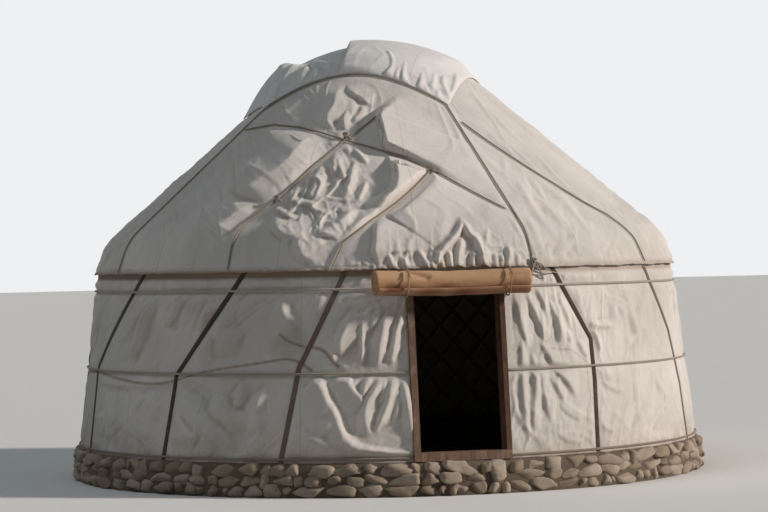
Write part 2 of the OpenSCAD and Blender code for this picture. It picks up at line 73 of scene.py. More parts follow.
# The form of wall and roof
def wall_r(z):
    return WALL_FOOT - z * math.tan(LEAN) + SWELL * np.clip((z - SWELL_LOW) / (SWELL_HIGH - SWELL_LOW), 0, 1)


def roof_z(r, o):
    """Height of the roof's slope at a radius, at a distance o out from the poles."""
    return KNEE_Z + (KNEE_R - r) * math.tan(PITCH) + o / math.cos(PITCH)


class Roof:
    """The roof's surface at a distance o out from the poles: skirt, bend and slope."""
    def __init__(self, o):
        self.o, self.bend = o, BEND + o
        self.r0, self.z0 = BEND_R + self.bend * math.cos(SKIRT), BEND_Z + self.bend * math.sin(SKIRT)
        self.skirt = (self.z0 - HEM) / math.cos(SKIRT)
        self.knee = self.skirt + self.bend * (ARC - SKIRT)

    def radius(self, z):
        z = np.asarray(z, float)
        skirt = self.r0 + (self.z0 - z) * math.tan(SKIRT)
        bend = BEND_R + np.sqrt(np.maximum(self.bend ** 2 - (z - BEND_Z) ** 2, 0))
        slope = KNEE_R - (z - KNEE_Z - self.o / math.cos(PITCH)) / math.tan(PITCH)
        return np.where(z < self.z0, skirt, np.where(z < BEND_Z + self.bend * math.cos(PITCH), bend, slope))

    def at(self, s):
        """Radius, height and tilt at a length s up from the hem."""
        tilt = SKIRT + np.clip((s - self.skirt) / self.bend, 0, ARC - SKIRT)
        low = self.skirt - s
        r = np.where(low > 0, self.r0 + low * math.sin(SKIRT), BEND_R + self.bend * np.cos(tilt))
        z = np.where(low > 0, self.z0 - low * math.cos(SKIRT), BEND_Z + self.bend * np.sin(tilt))
        up = np.maximum(s - self.knee, 0)
        return r - up * math.cos(PITCH), z + up * math.sin(PITCH), tilt

    def length(self, top_r):
        return self.knee + (BEND_R + self.bend * math.cos(ARC) - top_r) / math.cos(PITCH)


SIDE, FRONT = Roof(SIDE_O), Roof(FRONT_O)


def polar(a, r, z):
    """Point at an angle in degrees, a radius and a height."""
    a = np.radians(a)
    return np.stack(np.broadcast_arrays(r * np.sin(a), -r * np.cos(a), z), -1)


def angle_of(x):
    return np.degrees(np.arctan2(x[..., 0], -x[..., 1]))


# Curves, noise and tables
def step(x, a, b):
    """Smooth step from 0 at a to 1 at b."""
    t = np.clip((x - a) / (b - a), 0, 1)
    return t * t * (3 - 2 * t)


def zone(a, z, ca, cz, wa, wz):
    """1 at the middle of a zone over angle and height, and 0 away from it."""
    return np.exp(-((a - ca) / wa) ** 2 - ((z - cz) / wz) ** 2)


def unit(v):
    return v / np.maximum(np.linalg.norm(v, axis=-1, keepdims=True), 1e-9)


def gaps(p, axis=0):
    return np.linalg.norm(np.diff(p, axis=axis), axis=-1)


def run(steps):
    """Length from the start at each point."""
    return np.concatenate([[0], np.cumsum(steps)])


def between(g, i, j, s, t):
    """Value of a table between four of its points."""
    low, high = g[i, j] * (1 - s) + g[i + 1, j] * s, g[i, j + 1] * (1 - s) + g[i + 1, j + 1] * s
    return low * (1 - t) + high * t


def resize(g, nu, nv):
    """Smoothly resampled grid. The last axis may hold vectors."""
    def along(g, n):
        m = g.shape[0]
        if m == n:
            return g
        x = np.linspace(0, m - 1, n)
        i = np.clip(x.astype(int), 0, m - 2)
        t = (x - i).reshape((-1,) + (1,) * (g.ndim - 1))
        p0, p1, p2, p3 = g[np.maximum(i - 1, 0)], g[i], g[i + 1], g[np.minimum(i + 2, m - 1)]
        return p1 + 0.5 * t * (p2 - p0 + t * (2 * p0 - 5 * p1 + 4 * p2 - p3 + t * (3 * (p1 - p2) + p3 - p0)))
    return np.swapaxes(along(np.swapaxes(along(g, nu), 0, 1), nv), 0, 1)


def resample(p, spacing):
    """Points of a smooth line through p, evenly spaced."""
    p = np.asarray(p, float)
    q = resize(p[:, None, :], (len(p) - 1) * 8 + 1, 1)[:, 0]
    d = run(gaps(q))
    t = np.linspace(0, d[-1], max(int(d[-1] / spacing), 2) + 1)
    return np.stack([np.interp(t, d, q[:, k]) for k in range(p.shape[1])], -1)


def noise(rng, nu, nv, cu, cv):
    """Smooth seeded noise with cu and cv cells along the grid."""
    return resize(rng.normal(size=(cu + 3, cv + 3)), nu, nv)


def grain(rng, p, cells, turn=0.0, warp=0.0):
    """Smooth noise at points of a flat map, with cells of that size in metres, turned by some degrees."""
    if warp:
        p = p + warp * np.stack([grain(rng, p, (0.5, 0.5)), grain(rng, p, (0.5, 0.5))], -1)
    c, s = math.cos(math.radians(turn)), math.sin(math.radians(turn))
    q = np.stack([p[..., 0] * c + p[..., 1] * s, p[..., 1] * c - p[..., 0] * s], -1) / cells
    q = q - q.min((0, 1))
    i = q.astype(int)
    t = q - i
    u, v = np.moveaxis(t * t * t * (t * (t * 6 - 15) + 10), -1, 0)
    return between(rng.normal(size=i.max((0, 1)) + 2), i[..., 0], i[..., 1], u, v)


def creased(g):
    """Noise with sharp crests, from 0 to 1."""
    return np.maximum(1 - 1.6 * np.abs(g), 0)


def near(points, line):
    """Each point's distance from a line, its side on a flat map, and how far along the line that is."""
    best = np.full(points.shape[:-1], 1e9)
    side = np.zeros(points.shape[:-1])
    along = np.zeros(points.shape[:-1])
    done = 0.0
    for a, b in zip(line[:-1], line[1:]):
        ab = b - a
        l = np.linalg.norm(ab)
        t = np.clip(((points - a) @ ab) / max(l * l, 1e-12), 0, 1)
        d = np.linalg.norm(points - a - t[..., None] * ab, axis=-1)
        pick = d < best
        best = np.where(pick, d, best)
        if points.shape[-1] == 2:
            s = ab[0] * (points[..., 1] - a[1]) - ab[1] * (points[..., 0] - a[0])
            side = np.where(pick, -np.sign(s), side)
        along = np.where(pick, done + t * l, along)
        done += l
    return best, side, along / done


def crest(points, line, height, lit, shade, start=0.3, stop=0.3):
    """A sharp crest along a line listed from its top down, with its widths right (lit) and left (shade)."""
    d, side, along = near(points, line)
    f = step(along, -0.001, start) * step(1 - along, -0.001, stop)
    width = np.where(side < 0, lit, shade) * (0.3 + 0.7 * f)
    return height * f * np.maximum(1 - (np.sqrt(d * d + 1e-4) - 0.01) / width, 0) ** 1.3


def shelf(points, line, height, rise, reach, ends=0.12):
    """A step up to the right of a line that is listed from its top down, and a slow fall beyond it."""
    d, side, along = near(points, line)
    s = -d * side
    fade = step(along, -0.001, ends) * step(1 - along, -0.001, ends)
    return height * fade * step(s, -rise, rise) * np.exp(-np.maximum(s, 0) / reach)


def normals(x):
    return unit(np.cross(np.gradient(x, axis=0), np.gradient(x, axis=1)))


def hollows(x):
    """How deep each point lies between folds, from 0 to 1: painted shade goes there."""
    total, n = 0, normals(x)
    for d, deep in ((2, 0.004), (5, 0.012)):
        g = np.pad(x, [(d, d), (d, d), (0, 0)], "edge")
        around = (g[2 * d:, d:-d] + g[:-2 * d, d:-d] + g[d:-d, 2 * d:] + g[d:-d, :-2 * d]) / 4
        total = total + 0.5 * step(((around - x) * n).sum(-1), 0.1 * deep, deep)
    return total


# Cloth that is laid over a form
def relax(x, links, free, press, rounds, gravity):
    """Lets a grid of points find its length: links holds (di, dj, length, strength, only_push)."""
    x, free = x.astype(np.float32), free.astype(np.float32)
    v = np.zeros_like(x)
    jobs = []
    for i, j, length, strength, push in links:
        lag, count = (i, length.shape[0]) if i else (j, length.shape[1])
        for phase in range(2):
            first = np.arange(count)
            first = first[first // lag % 2 == phase]
            second = first + lag
            if lag == 1:
                first, second = slice(phase, count, 2), slice(phase + 1, count + 1, 2)
            if i:
                lo, hi = max(0, -j), max(0, -j) + length.shape[1]
                a, b, l = (first, slice(lo, hi)), (second, slice(lo + j, hi + j)), length[first]
            else:
                a, b, l = (slice(None), first), (slice(None), second), length[:, first]
            k = strength / np.maximum(free[a] + free[b], 1e-6)
            jobs.append((a, b, l.astype(np.float32), k.astype(np.float32), push, free[a], free[b]))
    for _ in range(rounds):
        before = x.copy()
        x = x + 0.9 * v
        x[..., 2] -= gravity * free
        for a, b, l, k, push, wa, wb in jobs:
            pa, pb = x[a], x[b]
            d = pb - pa
            q = np.sqrt((d * d).sum(-1))
            s = k * (q - l) / np.maximum(q, 1e-6)
            if push:
                s = np.minimum(s, 0)
            d *= s[..., None]
            x[a] = pa + d * wa[..., None]
            x[b] = pb - d * wb[..., None]
        x = press(x)
        v = x - before
    return x


def rim(u, v):
    """1 on the borders of a sheet, which stay in place."""
    return ((np.minimum(u, v) < 0.001) | (np.maximum(u, v) > 0.999)) * 1.0


def drape(base, size, press, excess, rng, ripple, pinned=rim, gravity=2e-5):
    """A sheet grown from coarse to fine: base(u, v) is the form, excess(u, v) how much longer the cloth is
    each way, ripple(u, v, rng) the first small push outwards, and pinned(u, v) is 1 where it is held."""
    size = [int(n * GRID_SHARE) - (int(n * GRID_SHARE) - 1) % 8 for n in size]
    for level, rounds in enumerate(ROUNDS):
        mu, mv = ((n - 1) // 2 ** (len(ROUNDS) - 1 - level) + 1 for n in size)
        u, v = np.meshgrid(np.linspace(0, 1, mu), np.linspace(0, 1, mv), indexing="ij")
        form = base(u, v)
        push_out = normals(form) * ripple(u, v, rng)[..., None]
        x = resize(x.astype(float), mu, mv) + push_out * 0.12 / level if level else form + push_out
        eu, ev = excess(u, v)
        held = pinned(u, v)
        x = np.where(held[..., None] > 0.99, form, x)

        def link(i, j, strength, share=1.0, push=False):
            lo, hi = max(0, -j), mv - max(0, j)
            e = (eu * i + ev * abs(j)) / (i + abs(j))
            grow = 1 + (e[:mu - i, lo:hi] + e[i:, lo + j:hi + j]) / 2
            form_length = np.linalg.norm(form[i:, lo + j:hi + j] - form[:mu - i, lo:hi], axis=-1)
            return i, j, form_length * grow * share, strength, push
        links = [link(1, 0, 1), link(0, 1, 1), link(1, 1, 0.5), link(1, -1, 0.5)]
        stiff = (0.35, 0.25, 0.2)[level]
        links += [link(2, 0, stiff, 0.97, True), link(0, 2, stiff, 0.97, True)]
        if level == 0:
            links += [link(4, 0, 0.08, 0.9, True), link(0, 4, 0.08, 0.9, True)]
        x = relax(x, links, 1 - held, press, rounds, gravity)
    return x.astype(float)


# Meshes and pieces
def make(name, verts, faces, mats, uv=None, mat_index=None, attrs=None, smooth=True):
    mesh = bpy.data.meshes.new(name)
    faces = np.asarray(faces)
    mesh.vertices.add(len(verts))
    mesh.vertices.foreach_set("co", np.asarray(verts, float).ravel())
    mesh.loops.add(faces.size)
    mesh.loops.foreach_set("vertex_index", faces.ravel())
    mesh.polygons.add(len(faces))
    mesh.polygons.foreach_set("loop_start", np.arange(len(faces)) * faces.shape[1])
    mesh.polygons.foreach_set("loop_total", np.full(len(faces), faces.shape[1]))
    mesh.polygons.foreach_set("use_smooth", np.full(len(faces), smooth))
    if mat_index is not None:
        mesh.polygons.foreach_set("material_index", np.asarray(mat_index, np.int32))
    if uv is not None:
        mesh.uv_layers.new(name="UVMap").data.foreach_set("uv", np.asarray(uv, float)[faces.ravel()].ravel())
    for key, values in (attrs or {}).items():
        values = np.asarray(values, np.float32).ravel()
        mesh.attributes.new(key, "FLOAT", "POINT").data.foreach_set("value", values)
    mesh.update()
    mesh.validate()
    for m in mats:
        mesh.materials.append(m)
    obj = bpy.data.objects.new(name, mesh)
    bpy.context.collection.objects.link(obj)
    return obj


def piece(obj, node):
    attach(obj, "root")
    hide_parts(node)


def grid_faces(nu, nv, start=0):
    i = np.arange((nu - 1) * (nv - 1))
    a = start + (i // (nv - 1)) * nv + i % (nv - 1)
    return np.stack([a, a + nv, a + nv + 1, a + 1], -1)


def cloth(name, x, mat, node, edges="", turn=0.012, mark=0):
    """A sheet from a grid. edges names the borders (u0, u1, v0, v1) that are turned in to show a hem."""
    uv = np.stack(np.meshgrid(run(gaps(x).mean(1)), run(gaps(x, 1).mean(0)), indexing="ij"), -1)
    # painted shade in the hollows between folds
    mark = np.maximum(mark, HOLLOW_SHADE * hollows(x))
    g = np.concatenate([x, normals(x), uv, mark[..., None]], -1)
    for key in edges.split():
        axis, far = "uv".index(key[0]), key[1] == "1"
        g = np.flip(g, axis) if far else g
        first, second, fifth = (np.take(g, [k], axis) for k in (0, 1, 4))
        inwards = first[..., 3:6] * turn
        deep, back, lip = first.copy(), first.copy(), first.copy()
        deep[..., :3] = fifth[..., :3] - fifth[..., 3:6] * turn * 1.15
        back[..., :3] = first[..., :3] - inwards
        lip[..., :3] = first[..., :3] - inwards * 0.5 + (first - second)[..., :3] * 0.35
        g = np.concatenate([deep, back, lip, g], axis)
        g = np.flip(g, axis) if far else g
    faces = grid_faces(*g.shape[:2])
    g = g.reshape(-1, g.shape[-1])
    obj = make(name, g[:, :3] + [0, 0, PLINTH], faces, [mat], g[:, 6:8], attrs={"mark": g[:, 8]})
    piece(obj, node)


def outwards(p):
    return unit(p * [1, 1, 0]) + [0, 0, 0.8]


def tube(points, radius, sides=8, spacing=0.02, up=outwards, flat=None):
    """Vertices, quads and texture coordinates of a rope along a line, or of a strap if flat is its size."""
    p = resample(points, spacing)
    t = unit(np.gradient(p, axis=0))
    o = up(p)
    n = unit(o - (o * t).sum(1, keepdims=True) * t)
    b = np.cross(t, n)
    if flat:
        w, h = flat[0] / 2, flat[1]
        half = [(0, w), (h * 0.6, w), (h, w * 0.93), (h * 1.02, w * 0.5), (h, 0)]
        shape = np.array(half + [(q, -r) for q, r in half[-2::-1]] + [(0, 0)])
    else:
        c = np.linspace(0, 2 * math.pi, sides, endpoint=False)
        shape = np.stack([np.cos(c), -np.sin(c)], -1) * radius
    m = len(shape)
    rings = p[:, None] + n[:, None] * shape[None, :, :1] + b[:, None] * shape[None, :, 1:]
    if not flat:
        for k in (0, -1):
            rings[k] = p[k] + (rings[k] - p[k]) * 0.45
    i, k = np.arange(len(p) - 1)[:, None] * m, np.arange(m)[None]
    after = (k + 1) % m
    quads = np.stack(np.broadcast_arrays(i + k, i + m + k, i + m + after, i + after), -1).reshape(-1, 4)
    uv = np.stack(np.broadcast_arrays(run(gaps(p))[:, None], np.linspace(0, 1, m)[None]), -1).reshape(-1, 2)
    return rings.reshape(-1, 3), quads, uv


class Parts:
    """Lengths of rope or strap that make one piece."""
    def __init__(self):
        self.parts, self.count = [], 0

    def add(self, part, mat=0):
        v, f, uv = part
        self.parts.append((v, f + self.count, uv, np.full(len(f), mat)))
        self.count += len(v)

    def join(self, name, mats, node):
        v, f, uv, mat_index = (np.concatenate(q) for q in zip(*self.parts))
        piece(make(name, v + [0, 0, PLINTH], f, mats, uv, mat_index), node)


# Materials
class Mat:
    def __init__(self, name):
        self.mat = bpy.data.materials.new(name)
        self.mat.use_nodes = True
        self.t = self.mat.node_tree
        self.t.nodes.clear()
        out = self.t.nodes.new("ShaderNodeOutputMaterial")
        self.p = self.t.nodes.new("ShaderNodeBsdfPrincipled")
        self.t.links.new(self.p.outputs[0], out.inputs[0])

    def put(self, socket, value):
        if isinstance(value, bpy.types.NodeSocket):
            self.t.links.new(value, socket)
        else:
            if hasattr(socket.default_value, "__len__") and not hasattr(value, "__len__"):
                value = (value,) * len(socket.default_value)
            if hasattr(value, "__len__") and len(value) == 3 and len(socket.default_value) == 4:
                value = (*value, 1)
            socket.default_value = value

    def node(self, kind, out=0, props=None, **inputs):
        n = self.t.nodes.new("ShaderNode" + kind)
        for k, v in (props or {}).items():
            setattr(n, k, v)
        for k, v in inputs.items():
            self.put(n.inputs[int(k[1:]) if k[0] == "i" else k], v)
        return n.outputs[out]

    def math(self, op, a, b=0.0, clamp=False):
        return self.node("Math", props={"operation": op, "use_clamp": clamp}, i0=a, i1=b)

    def times(self, a, b):
        return self.math("MULTIPLY", a, b)

    def plus(self, a, b):
        return self.math("ADD", a, b)

    def wave(self, value, pitch):
        return self.math("SINE", self.times(value, 2 * math.pi / pitch))

    def off(self, value, middle):
        """How far a value is from a middle."""
        return self.math("ABSOLUTE", self.math("SUBTRACT", value, middle))

    def mix(self, t, a, b):
        return self.node("Mix", 2, {"data_type": "RGBA"}, i0=t, i6=a, i7=b)

    def ramp(self, t, a, b):
        """0 below a and 1 above b."""
        return self.node("MapRange", props={"interpolation_type": "SMOOTHSTEP", "clamp": True},
                         i0=t, i1=a, i2=b, i3=0.0, i4=1.0)

    def below(self, t, a, b):
        return self.math("SUBTRACT", 1.0, self.ramp(t, a, b))

    def stain(self, colour, other, value, low, high, share):
        """Mixes in another colour, by up to that share, where a value rises from low to high."""
        return self.mix(self.times(self.ramp(value, low, high), share), colour, other)

    def noise(self, vector, scale, detail=3.0, rough=0.55, distort=0.0):
        return self.node("TexNoise", Vector=vector, Scale=scale, Detail=detail, Roughness=rough,
                         Distortion=distort)

    def scale(self, vector, s):
        return self.node("Mapping", Vector=vector, Scale=s)

    def place(self):
        return self.node("TexCoord", 3)

    def metres(self):
        """Texture coordinates, whole and apart."""
        uv = self.node("TexCoord", 2)
        return uv, self.node("SeparateXYZ", Vector=uv), self.node("SeparateXYZ", 1, Vector=uv)

    def bump(self, height, distance, strength, normal=None):
        more = {} if normal is None else {"Normal": normal}
        return self.node("Bump", Height=height, Distance=distance, Strength=strength, **more)

    def finish(self, colour, rough, normal, sheen=0.0):
        values = {"Base Color": colour, "Roughness": rough, "Normal": normal, "Sheen Weight": sheen,
                  "Specular IOR Level": 0.25}
        for key, value in values.items():
            self.put(self.p.inputs[key], value)
        return self.mat


WEAVE = 0.0026


def canvas_material(name, pale, dull, brown, thread, seam_pitch, soil_and_shade_heights=(0.28, 0.62)):
    m = Mat(name)
    uv, u, v = m.metres()
    obj = m.place()
    mottle = m.noise(obj, 6.0, 6, 0.65)
    colour = m.mix(m.ramp(m.noise(obj, 0.9, 5, 0.6), 0.38, 0.66), pale, dull)
    colour = m.stain(colour, dull, mottle, 0.45, 0.8, 0.35)
    # rain marks that run down the cloth
    along = m.noise(m.scale(uv, (7.0, 0.8, 1.0)), 1.0, 5, 0.6, 0.3)
    colour = m.stain(colour, brown, along, 0.55, 0.78, 0.28)
    # darker brown low down: soiling near the ground on the covers, and painted shade on the lower side of
    # the rolled flap
    low = m.below(m.node("SeparateXYZ", 2, Vector=obj), *soil_and_shade_heights)
    soil_and_shade = m.times(low, m.ramp(m.noise(obj, 5.0, 6, 0.7), 0.3, 0.75))
    colour = m.mix(m.times(soil_and_shade, 0.62), colour, brown)
    # sewn seams between widths of cloth, with their stitches
    across = m.off(m.math("FRACT", m.math("DIVIDE", u, seam_pitch)), 0.5)
    line = m.below(across, 0.004, 0.008)
    dashes = m.math("GREATER_THAN", m.math("FRACT", m.times(v, 95.0)), 0.35)
    stitch = m.times(m.below(across, 0.010, 0.013), dashes)
    colour = m.mix(m.times(line, 0.35), colour, brown)
    colour = m.mix(m.times(stitch, 0.25), colour, thread)
    # marks that the scene writes on each cover: patches, sewn bands, stains, and painted shade in fold
    # hollows, along and under the roof's hem and on the rolled flap
    mark = m.node("Attribute", 2, {"attribute_name": "mark"})
    uneven = m.plus(0.6, m.times(m.noise(obj, 26.0, 5, 0.7), 0.8))
    colour = m.mix(m.math("MULTIPLY", mark, uneven, clamp=True), colour, brown)
    weave = m.times(m.wave(u, WEAVE), m.wave(v, WEAVE))
    colour = m.stain(colour, thread, weave, -0.4, 1.0, 0.10)
    n = m.bump(m.noise(obj, 9.0, 7, 0.62, 0.5), 0.012, 0.55)
    n = m.bump(m.noise(m.scale(obj, (1, 1, 0.6)), 34.0, 5, 0.6, 0.4), 0.004, 0.5, n)
    n = m.bump(m.plus(weave, m.times(line, 2.0)), 0.0006, 0.5, n)
    return m.finish(colour, m.plus(0.80, m.times(mottle, 0.16)), n, 0.12)


def wood_material(name, light, dark, worn, stretch, wear=0.35):
    m = Mat(name)
    obj = m.place()
    grain = m.noise(m.scale(obj, stretch), 1.0, 8, 0.62, 1.2)
    rings = m.noise(m.scale(obj, tuple(s * 0.28 for s in stretch)), 1.0, 3, 0.5, 2.0)
    colour = m.mix(m.ramp(grain, 0.32, 0.68), dark, light)
    colour = m.stain(colour, dark, rings, 0.4, 0.62, 0.4)
    colour = m.stain(colour, worn, m.noise(obj, 5.5, 6, 0.7), 0.52, 0.75, wear)
    n = m.bump(m.noise(obj, 60, 4, 0.6), 0.0008, 0.4, m.bump(grain, 0.0022, 0.7))
    return m.finish(colour, m.plus(0.55, m.times(grain, 0.3)), n)


def rope_material(name, pale, dark, pitch=0.045):
    """Twisted strands. The texture coordinates are the length in metres and the way round."""
    m = Mat(name)
    _, u, v = m.metres()
    turn = m.plus(m.math("DIVIDE", u, pitch), v)
    strand = m.math("ABSOLUTE", m.math("SINE", m.times(turn, math.pi * 3)))
    fibre = m.noise(m.place(), 240.0, 4, 0.7)
    # grooves between the strands are painted darker than their crowns: painted shade; the fibre noise is the
    # rope's own colour
    colour = m.stain(m.mix(m.ramp(strand, 0.05, 0.6), dark, pale), dark, fibre, 0.4, 0.7, 0.45)
    return m.finish(colour, 0.9, m.bump(fibre, 0.0010, 0.6, m.bump(strand, 0.004, 0.9)), 0.1)


def strap_material(name, dark, mid, pale):
    """A woven band with a herringbone."""
    m = Mat(name)
    _, u, v = m.metres()
    across = m.off(v, 0.45)
    herring = m.math("SINE", m.plus(m.times(u, 700.0), m.times(across, 60.0)))
    colour = m.mix(m.ramp(herring, -0.2, 0.9), dark, mid)
    colour = m.stain(colour, pale, across, 0.20, 0.26, 0.25)
    colour = m.stain(colour, pale, m.noise(m.place(), 14.0, 6, 0.7), 0.5, 0.75, 0.3)
    return m.finish(colour, 0.92, m.bump(herring, 0.0012, 0.8), 0.1)


def stone_material(name, dark, light, lichen):
    m = Mat(name)
    obj = m.place()
    big, fine = m.noise(obj, 9.0, 6, 0.65), m.noise(obj, 70.0, 6, 0.7)
    colour = m.mix(m.node("Attribute", 2, {"attribute_name": "tone"}), dark, light)
    colour = m.stain(colour, lichen, big, 0.45, 0.7, 0.5)
    colour = m.stain(colour, dark, fine, 0.55, 0.8, 0.35)
    n = m.bump(fine, 0.003, 0.8, m.bump(big, 0.012, 0.6))
    return m.finish(colour, m.plus(0.75, m.times(fine, 0.2)), n)


CANVAS = canvas_material("canvas", (0.80, 0.745, 0.695), (0.65, 0.61, 0.565), (0.36, 0.27, 0.20),
                         (0.86, 0.82, 0.76), 0.93)
CROWN_CANVAS = canvas_material("crown_canvas", (0.87, 0.85, 0.83), (0.80, 0.78, 0.76), (0.46, 0.39, 0.33),
                               (0.90, 0.87, 0.83), 0.93)
# the flap's low band of darker brown lies over the roll's lower half: painted shade
FLAP = canvas_material("flap_canvas", (0.62, 0.385, 0.215), (0.52, 0.30, 0.155), (0.26, 0.085, 0.045),
                       (0.66, 0.50, 0.35), 9.0, (1.45, 1.82))
TIMBER = wood_material("timber", (0.34, 0.17, 0.085), (0.17, 0.075, 0.035), (0.42, 0.27, 0.16),
                       (26, 26, 3.2))
POLE_WOOD = wood_material("pole_wood", (0.40, 0.17, 0.07), (0.23, 0.09, 0.04), (0.48, 0.28, 0.15),
                          (14, 14, 9))
LATH_WOOD = wood_material("lath_wood", (0.52, 0.36, 0.21), (0.33, 0.20, 0.11), (0.60, 0.46, 0.31),
                          (16, 16, 16))
FRAME_WOOD = wood_material("frame_wood", (0.27, 0.175, 0.115), (0.12, 0.07, 0.045), (0.48, 0.38, 0.29),
                           (30, 30, 2.6), 0.5)
# a darker copy of the frame wood: painted shade for the right post and the lintel
FRAME_WOOD_SHADE = wood_material("frame_wood_painted_shade", (0.155, 0.078, 0.046), (0.06, 0.03, 0.02), (0.28, 0.17, 0.11),
                          (30, 30, 2.6), 0.4)
ROPE_DARK = rope_material("hair_rope", (0.48, 0.40, 0.32), (0.25, 0.195, 0.15))
ROPE_TAN = rope_material("tan_cord", (0.60, 0.42, 0.26), (0.36, 0.23, 0.14), 0.03)
ROPE_PALE = rope_material("pale_cord", (0.62, 0.56, 0.48), (0.33, 0.28, 0.22), 0.03)
ROPE_WHITE = rope_material("cotton_cord", (0.72, 0.67, 0.61), (0.50, 0.45, 0.40), 0.03)
STRAP = strap_material("woven_strap", (0.045, 0.03, 0.025), (0.12, 0.075, 0.055), (0.30, 0.23, 0.17))
STRAP_BROWN = strap_material("faded_strap", (0.17, 0.11, 0.085), (0.30, 0.22, 0.175), (0.46, 0.38, 0.31))
STONE = stone_material("field_stone", (0.27, 0.205, 0.15), (0.45, 0.375, 0.295), (0.19, 0.15, 0.115))
# packed earth, darkened to paint the shade in the deep gaps between the stones
EARTH_AND_GAP_SHADE = stone_material("packed_earth", (0.12, 0.09, 0.065), (0.17, 0.13, 0.095), (0.08, 0.06, 0.045))


# Camera, floor, backdrop and light
def add_object(name, data):
    obj = bpy.data.objects.new(name, data)
    obj.rotation_mode = "QUATERNION"
    bpy.context.collection.objects.link(obj)
    return obj


def camera(azimuth=12.7, distance=23.3, height=1.67, roll=-1.2):
    data = bpy.data.cameras.new("camera")
    data.sensor_width, data.lens = 36.0, 118.8
    data.clip_start, data.clip_end = 0.5, 400
    cam = add_object("camera", data)
    look = Vector((math.sin(math.radians(azimuth)), math.cos(math.radians(azimuth)), 0.0))
    cam.location = (-distance * look.x, -distance * look.y, PLINTH + height)
    cam.rotation_quaternion = (look.to_track_quat("-Z", "Y")
                               @ Matrix.Rotation(math.radians(roll), 3, "Z").to_quaternion())
    bpy.context.scene.camera = cam


def seen(tree):
    """1 for rays that show the floor and backdrop, 0 for the light that they give to the object."""
    path = tree.nodes.new("ShaderNodeLightPath")
    total = path.outputs["Is Camera Ray"]
    for kind in ("Is Glossy Ray", "Is Transmission Ray"):
        add = tree.nodes.new("ShaderNodeMath")
        add.operation = "MAXIMUM"
        tree.links.new(total, add.inputs[0])
        tree.links.new(path.outputs[kind], add.inputs[1])
        total = add.outputs[0]
    return total


def stage_floor(pale, plain, half=150):
    m = Mat("floor")
    m.put(m.p.inputs["Base Color"], m.mix(seen(m.t), plain, pale))
    m.p.inputs["Roughness"].default_value = 0.9
    m.p.inputs["Specular IOR Level"].default_value = 0.1
    corners = [(-half, -half, 0), (half, -half, 0), (half, half, 0), (-half, half, 0)]
    make("stage_floor", corners, [(0, 1, 2, 3)], [m.mat], smooth=False)


def backdrop(fill, fill_strength, pale):
    world = bpy.data.worlds.new("world")
    bpy.context.scene.world = world
    world.use_nodes = True
    tree = world.node_tree
    tree.nodes.clear()
    out, mix = tree.nodes.new("ShaderNodeOutputWorld"), tree.nodes.new("ShaderNodeMixShader")
    tree.links.new(seen(tree), mix.inputs[0])
    for k, (colour, strength) in enumerate(((fill, fill_strength), (pale, 1.0))):
        back = tree.nodes.new("ShaderNodeBackground")
        back.inputs[0].default_value = (*colour, 1)
        back.inputs[1].default_value = strength
        tree.links.new(back.outputs[0], mix.inputs[1 + k])
    tree.links.new(mix.outputs[0], out.inputs[0])


def sun(name, azimuth, elevation, strength, colour, angle):
    data = bpy.data.lights.new(name, "SUN")
    data.energy, data.color, data.angle = strength, colour, math.radians(angle)
    az, el = math.radians(azimuth), math.radians(elevation)
    to = Vector((math.sin(az) * math.cos(el), -math.cos(az) * math.cos(el), math.sin(el)))
    obj = add_object(name, data)
    obj.rotation_quaternion = (-to).to_track_quat("-Z", "Y")
    obj.location = to * 30


bpy.context.scene.view_settings.view_transform = "Standard"
camera()
stage_floor(pale=(0.90, 0.89, 0.87), plain=(0.50, 0.49, 0.47))
backdrop(fill=(0.80, 0.93, 1.0), fill_strength=0.115, pale=(0.86, 0.87, 0.88))
sun("key", azimuth=66, elevation=22, strength=2.95, colour=(1.0, 0.915, 0.855), angle=5)
sun("soft_fill", azimuth=-75, elevation=58, strength=0.36, colour=(0.86, 0.94, 1.0), angle=25)

# Routes of ropes and straps
HEM_TO_CROWN = roof_z(CROWN_R, SIDE_O) - HEM
ROPE_LIFT = 0.0115                   # a roof rope's middle above the cover's outer face
FRONT_ROPE, SIDE_ROPE = FRONT_O + ROPE_LIFT, SIDE_O + ROPE_LIFT
CROSS_LIFT = 0.0008                  # more for a rope that crosses another
ROPE_EDGE = CROWN_HALF + 0.012       # the arched rope runs just outside the crown cover
CORNER_R = ROPE_EDGE * math.sqrt(2)
LATTICE_H = 1.5                      # heights of the straps' points are shares of this


def spread(points, n):
    """The points of a route with n even steps between each two of them."""
    points = np.array(points, float)
    legs = [np.linspace(a, b, n, endpoint=False) for a, b in zip(points[:-1], points[1:])]
    return np.concatenate(legs + [points[-1:]])


def roof_route(route, o):
    """A rope through points of angle and share of the way from hem to crown."""
    q = spread(route, 6)
    z = HEM + q[:, 1] * HEM_TO_CROWN
    return polar(q[:, 0], Roof(o + CROSS_LIFT).radius(z), z)


def down(angle, o):
    """A rope from the crown cover's corner straight down to the hem."""
    top = roof_z(CORNER_R, o)
    z = top + (HEM + 0.008 - top) * np.linspace(0, 1, 14)
    return polar(angle, Roof(o).radius(z), z)


def arched_rope():
    """Up on the right, along the crown cover's front edge, and down on the left."""
    a = np.arange(14.0, -72.5, -4.3)
    r = ROPE_EDGE / np.cos(np.radians(a - CROWN_TURN))
    along = polar(a, r, roof_z(r, FRONT_ROPE + 0.0005))
    return np.concatenate([down(15, FRONT_ROPE)[::-1], along, down(-73, FRONT_ROPE)])


def wall_route(a, route):
    """A strap from under the eave through points of angle and share of the lattice's height."""
    slant = (a - route[0][0]) / (SWELL_LOW - route[0][1] * LATTICE_H)
    points = [(a + slant * (z - SWELL_LOW), z) for z in (WALL_TOP - 0.014, SWELL_HIGH, SWELL_LOW)]
    q = spread(points + [(p, share * LATTICE_H) for p, share in route], 8)
    return polar(q[:, 0], wall_r(q[:, 1]) + 0.0005 / math.cos(LEAN), q[:, 1])


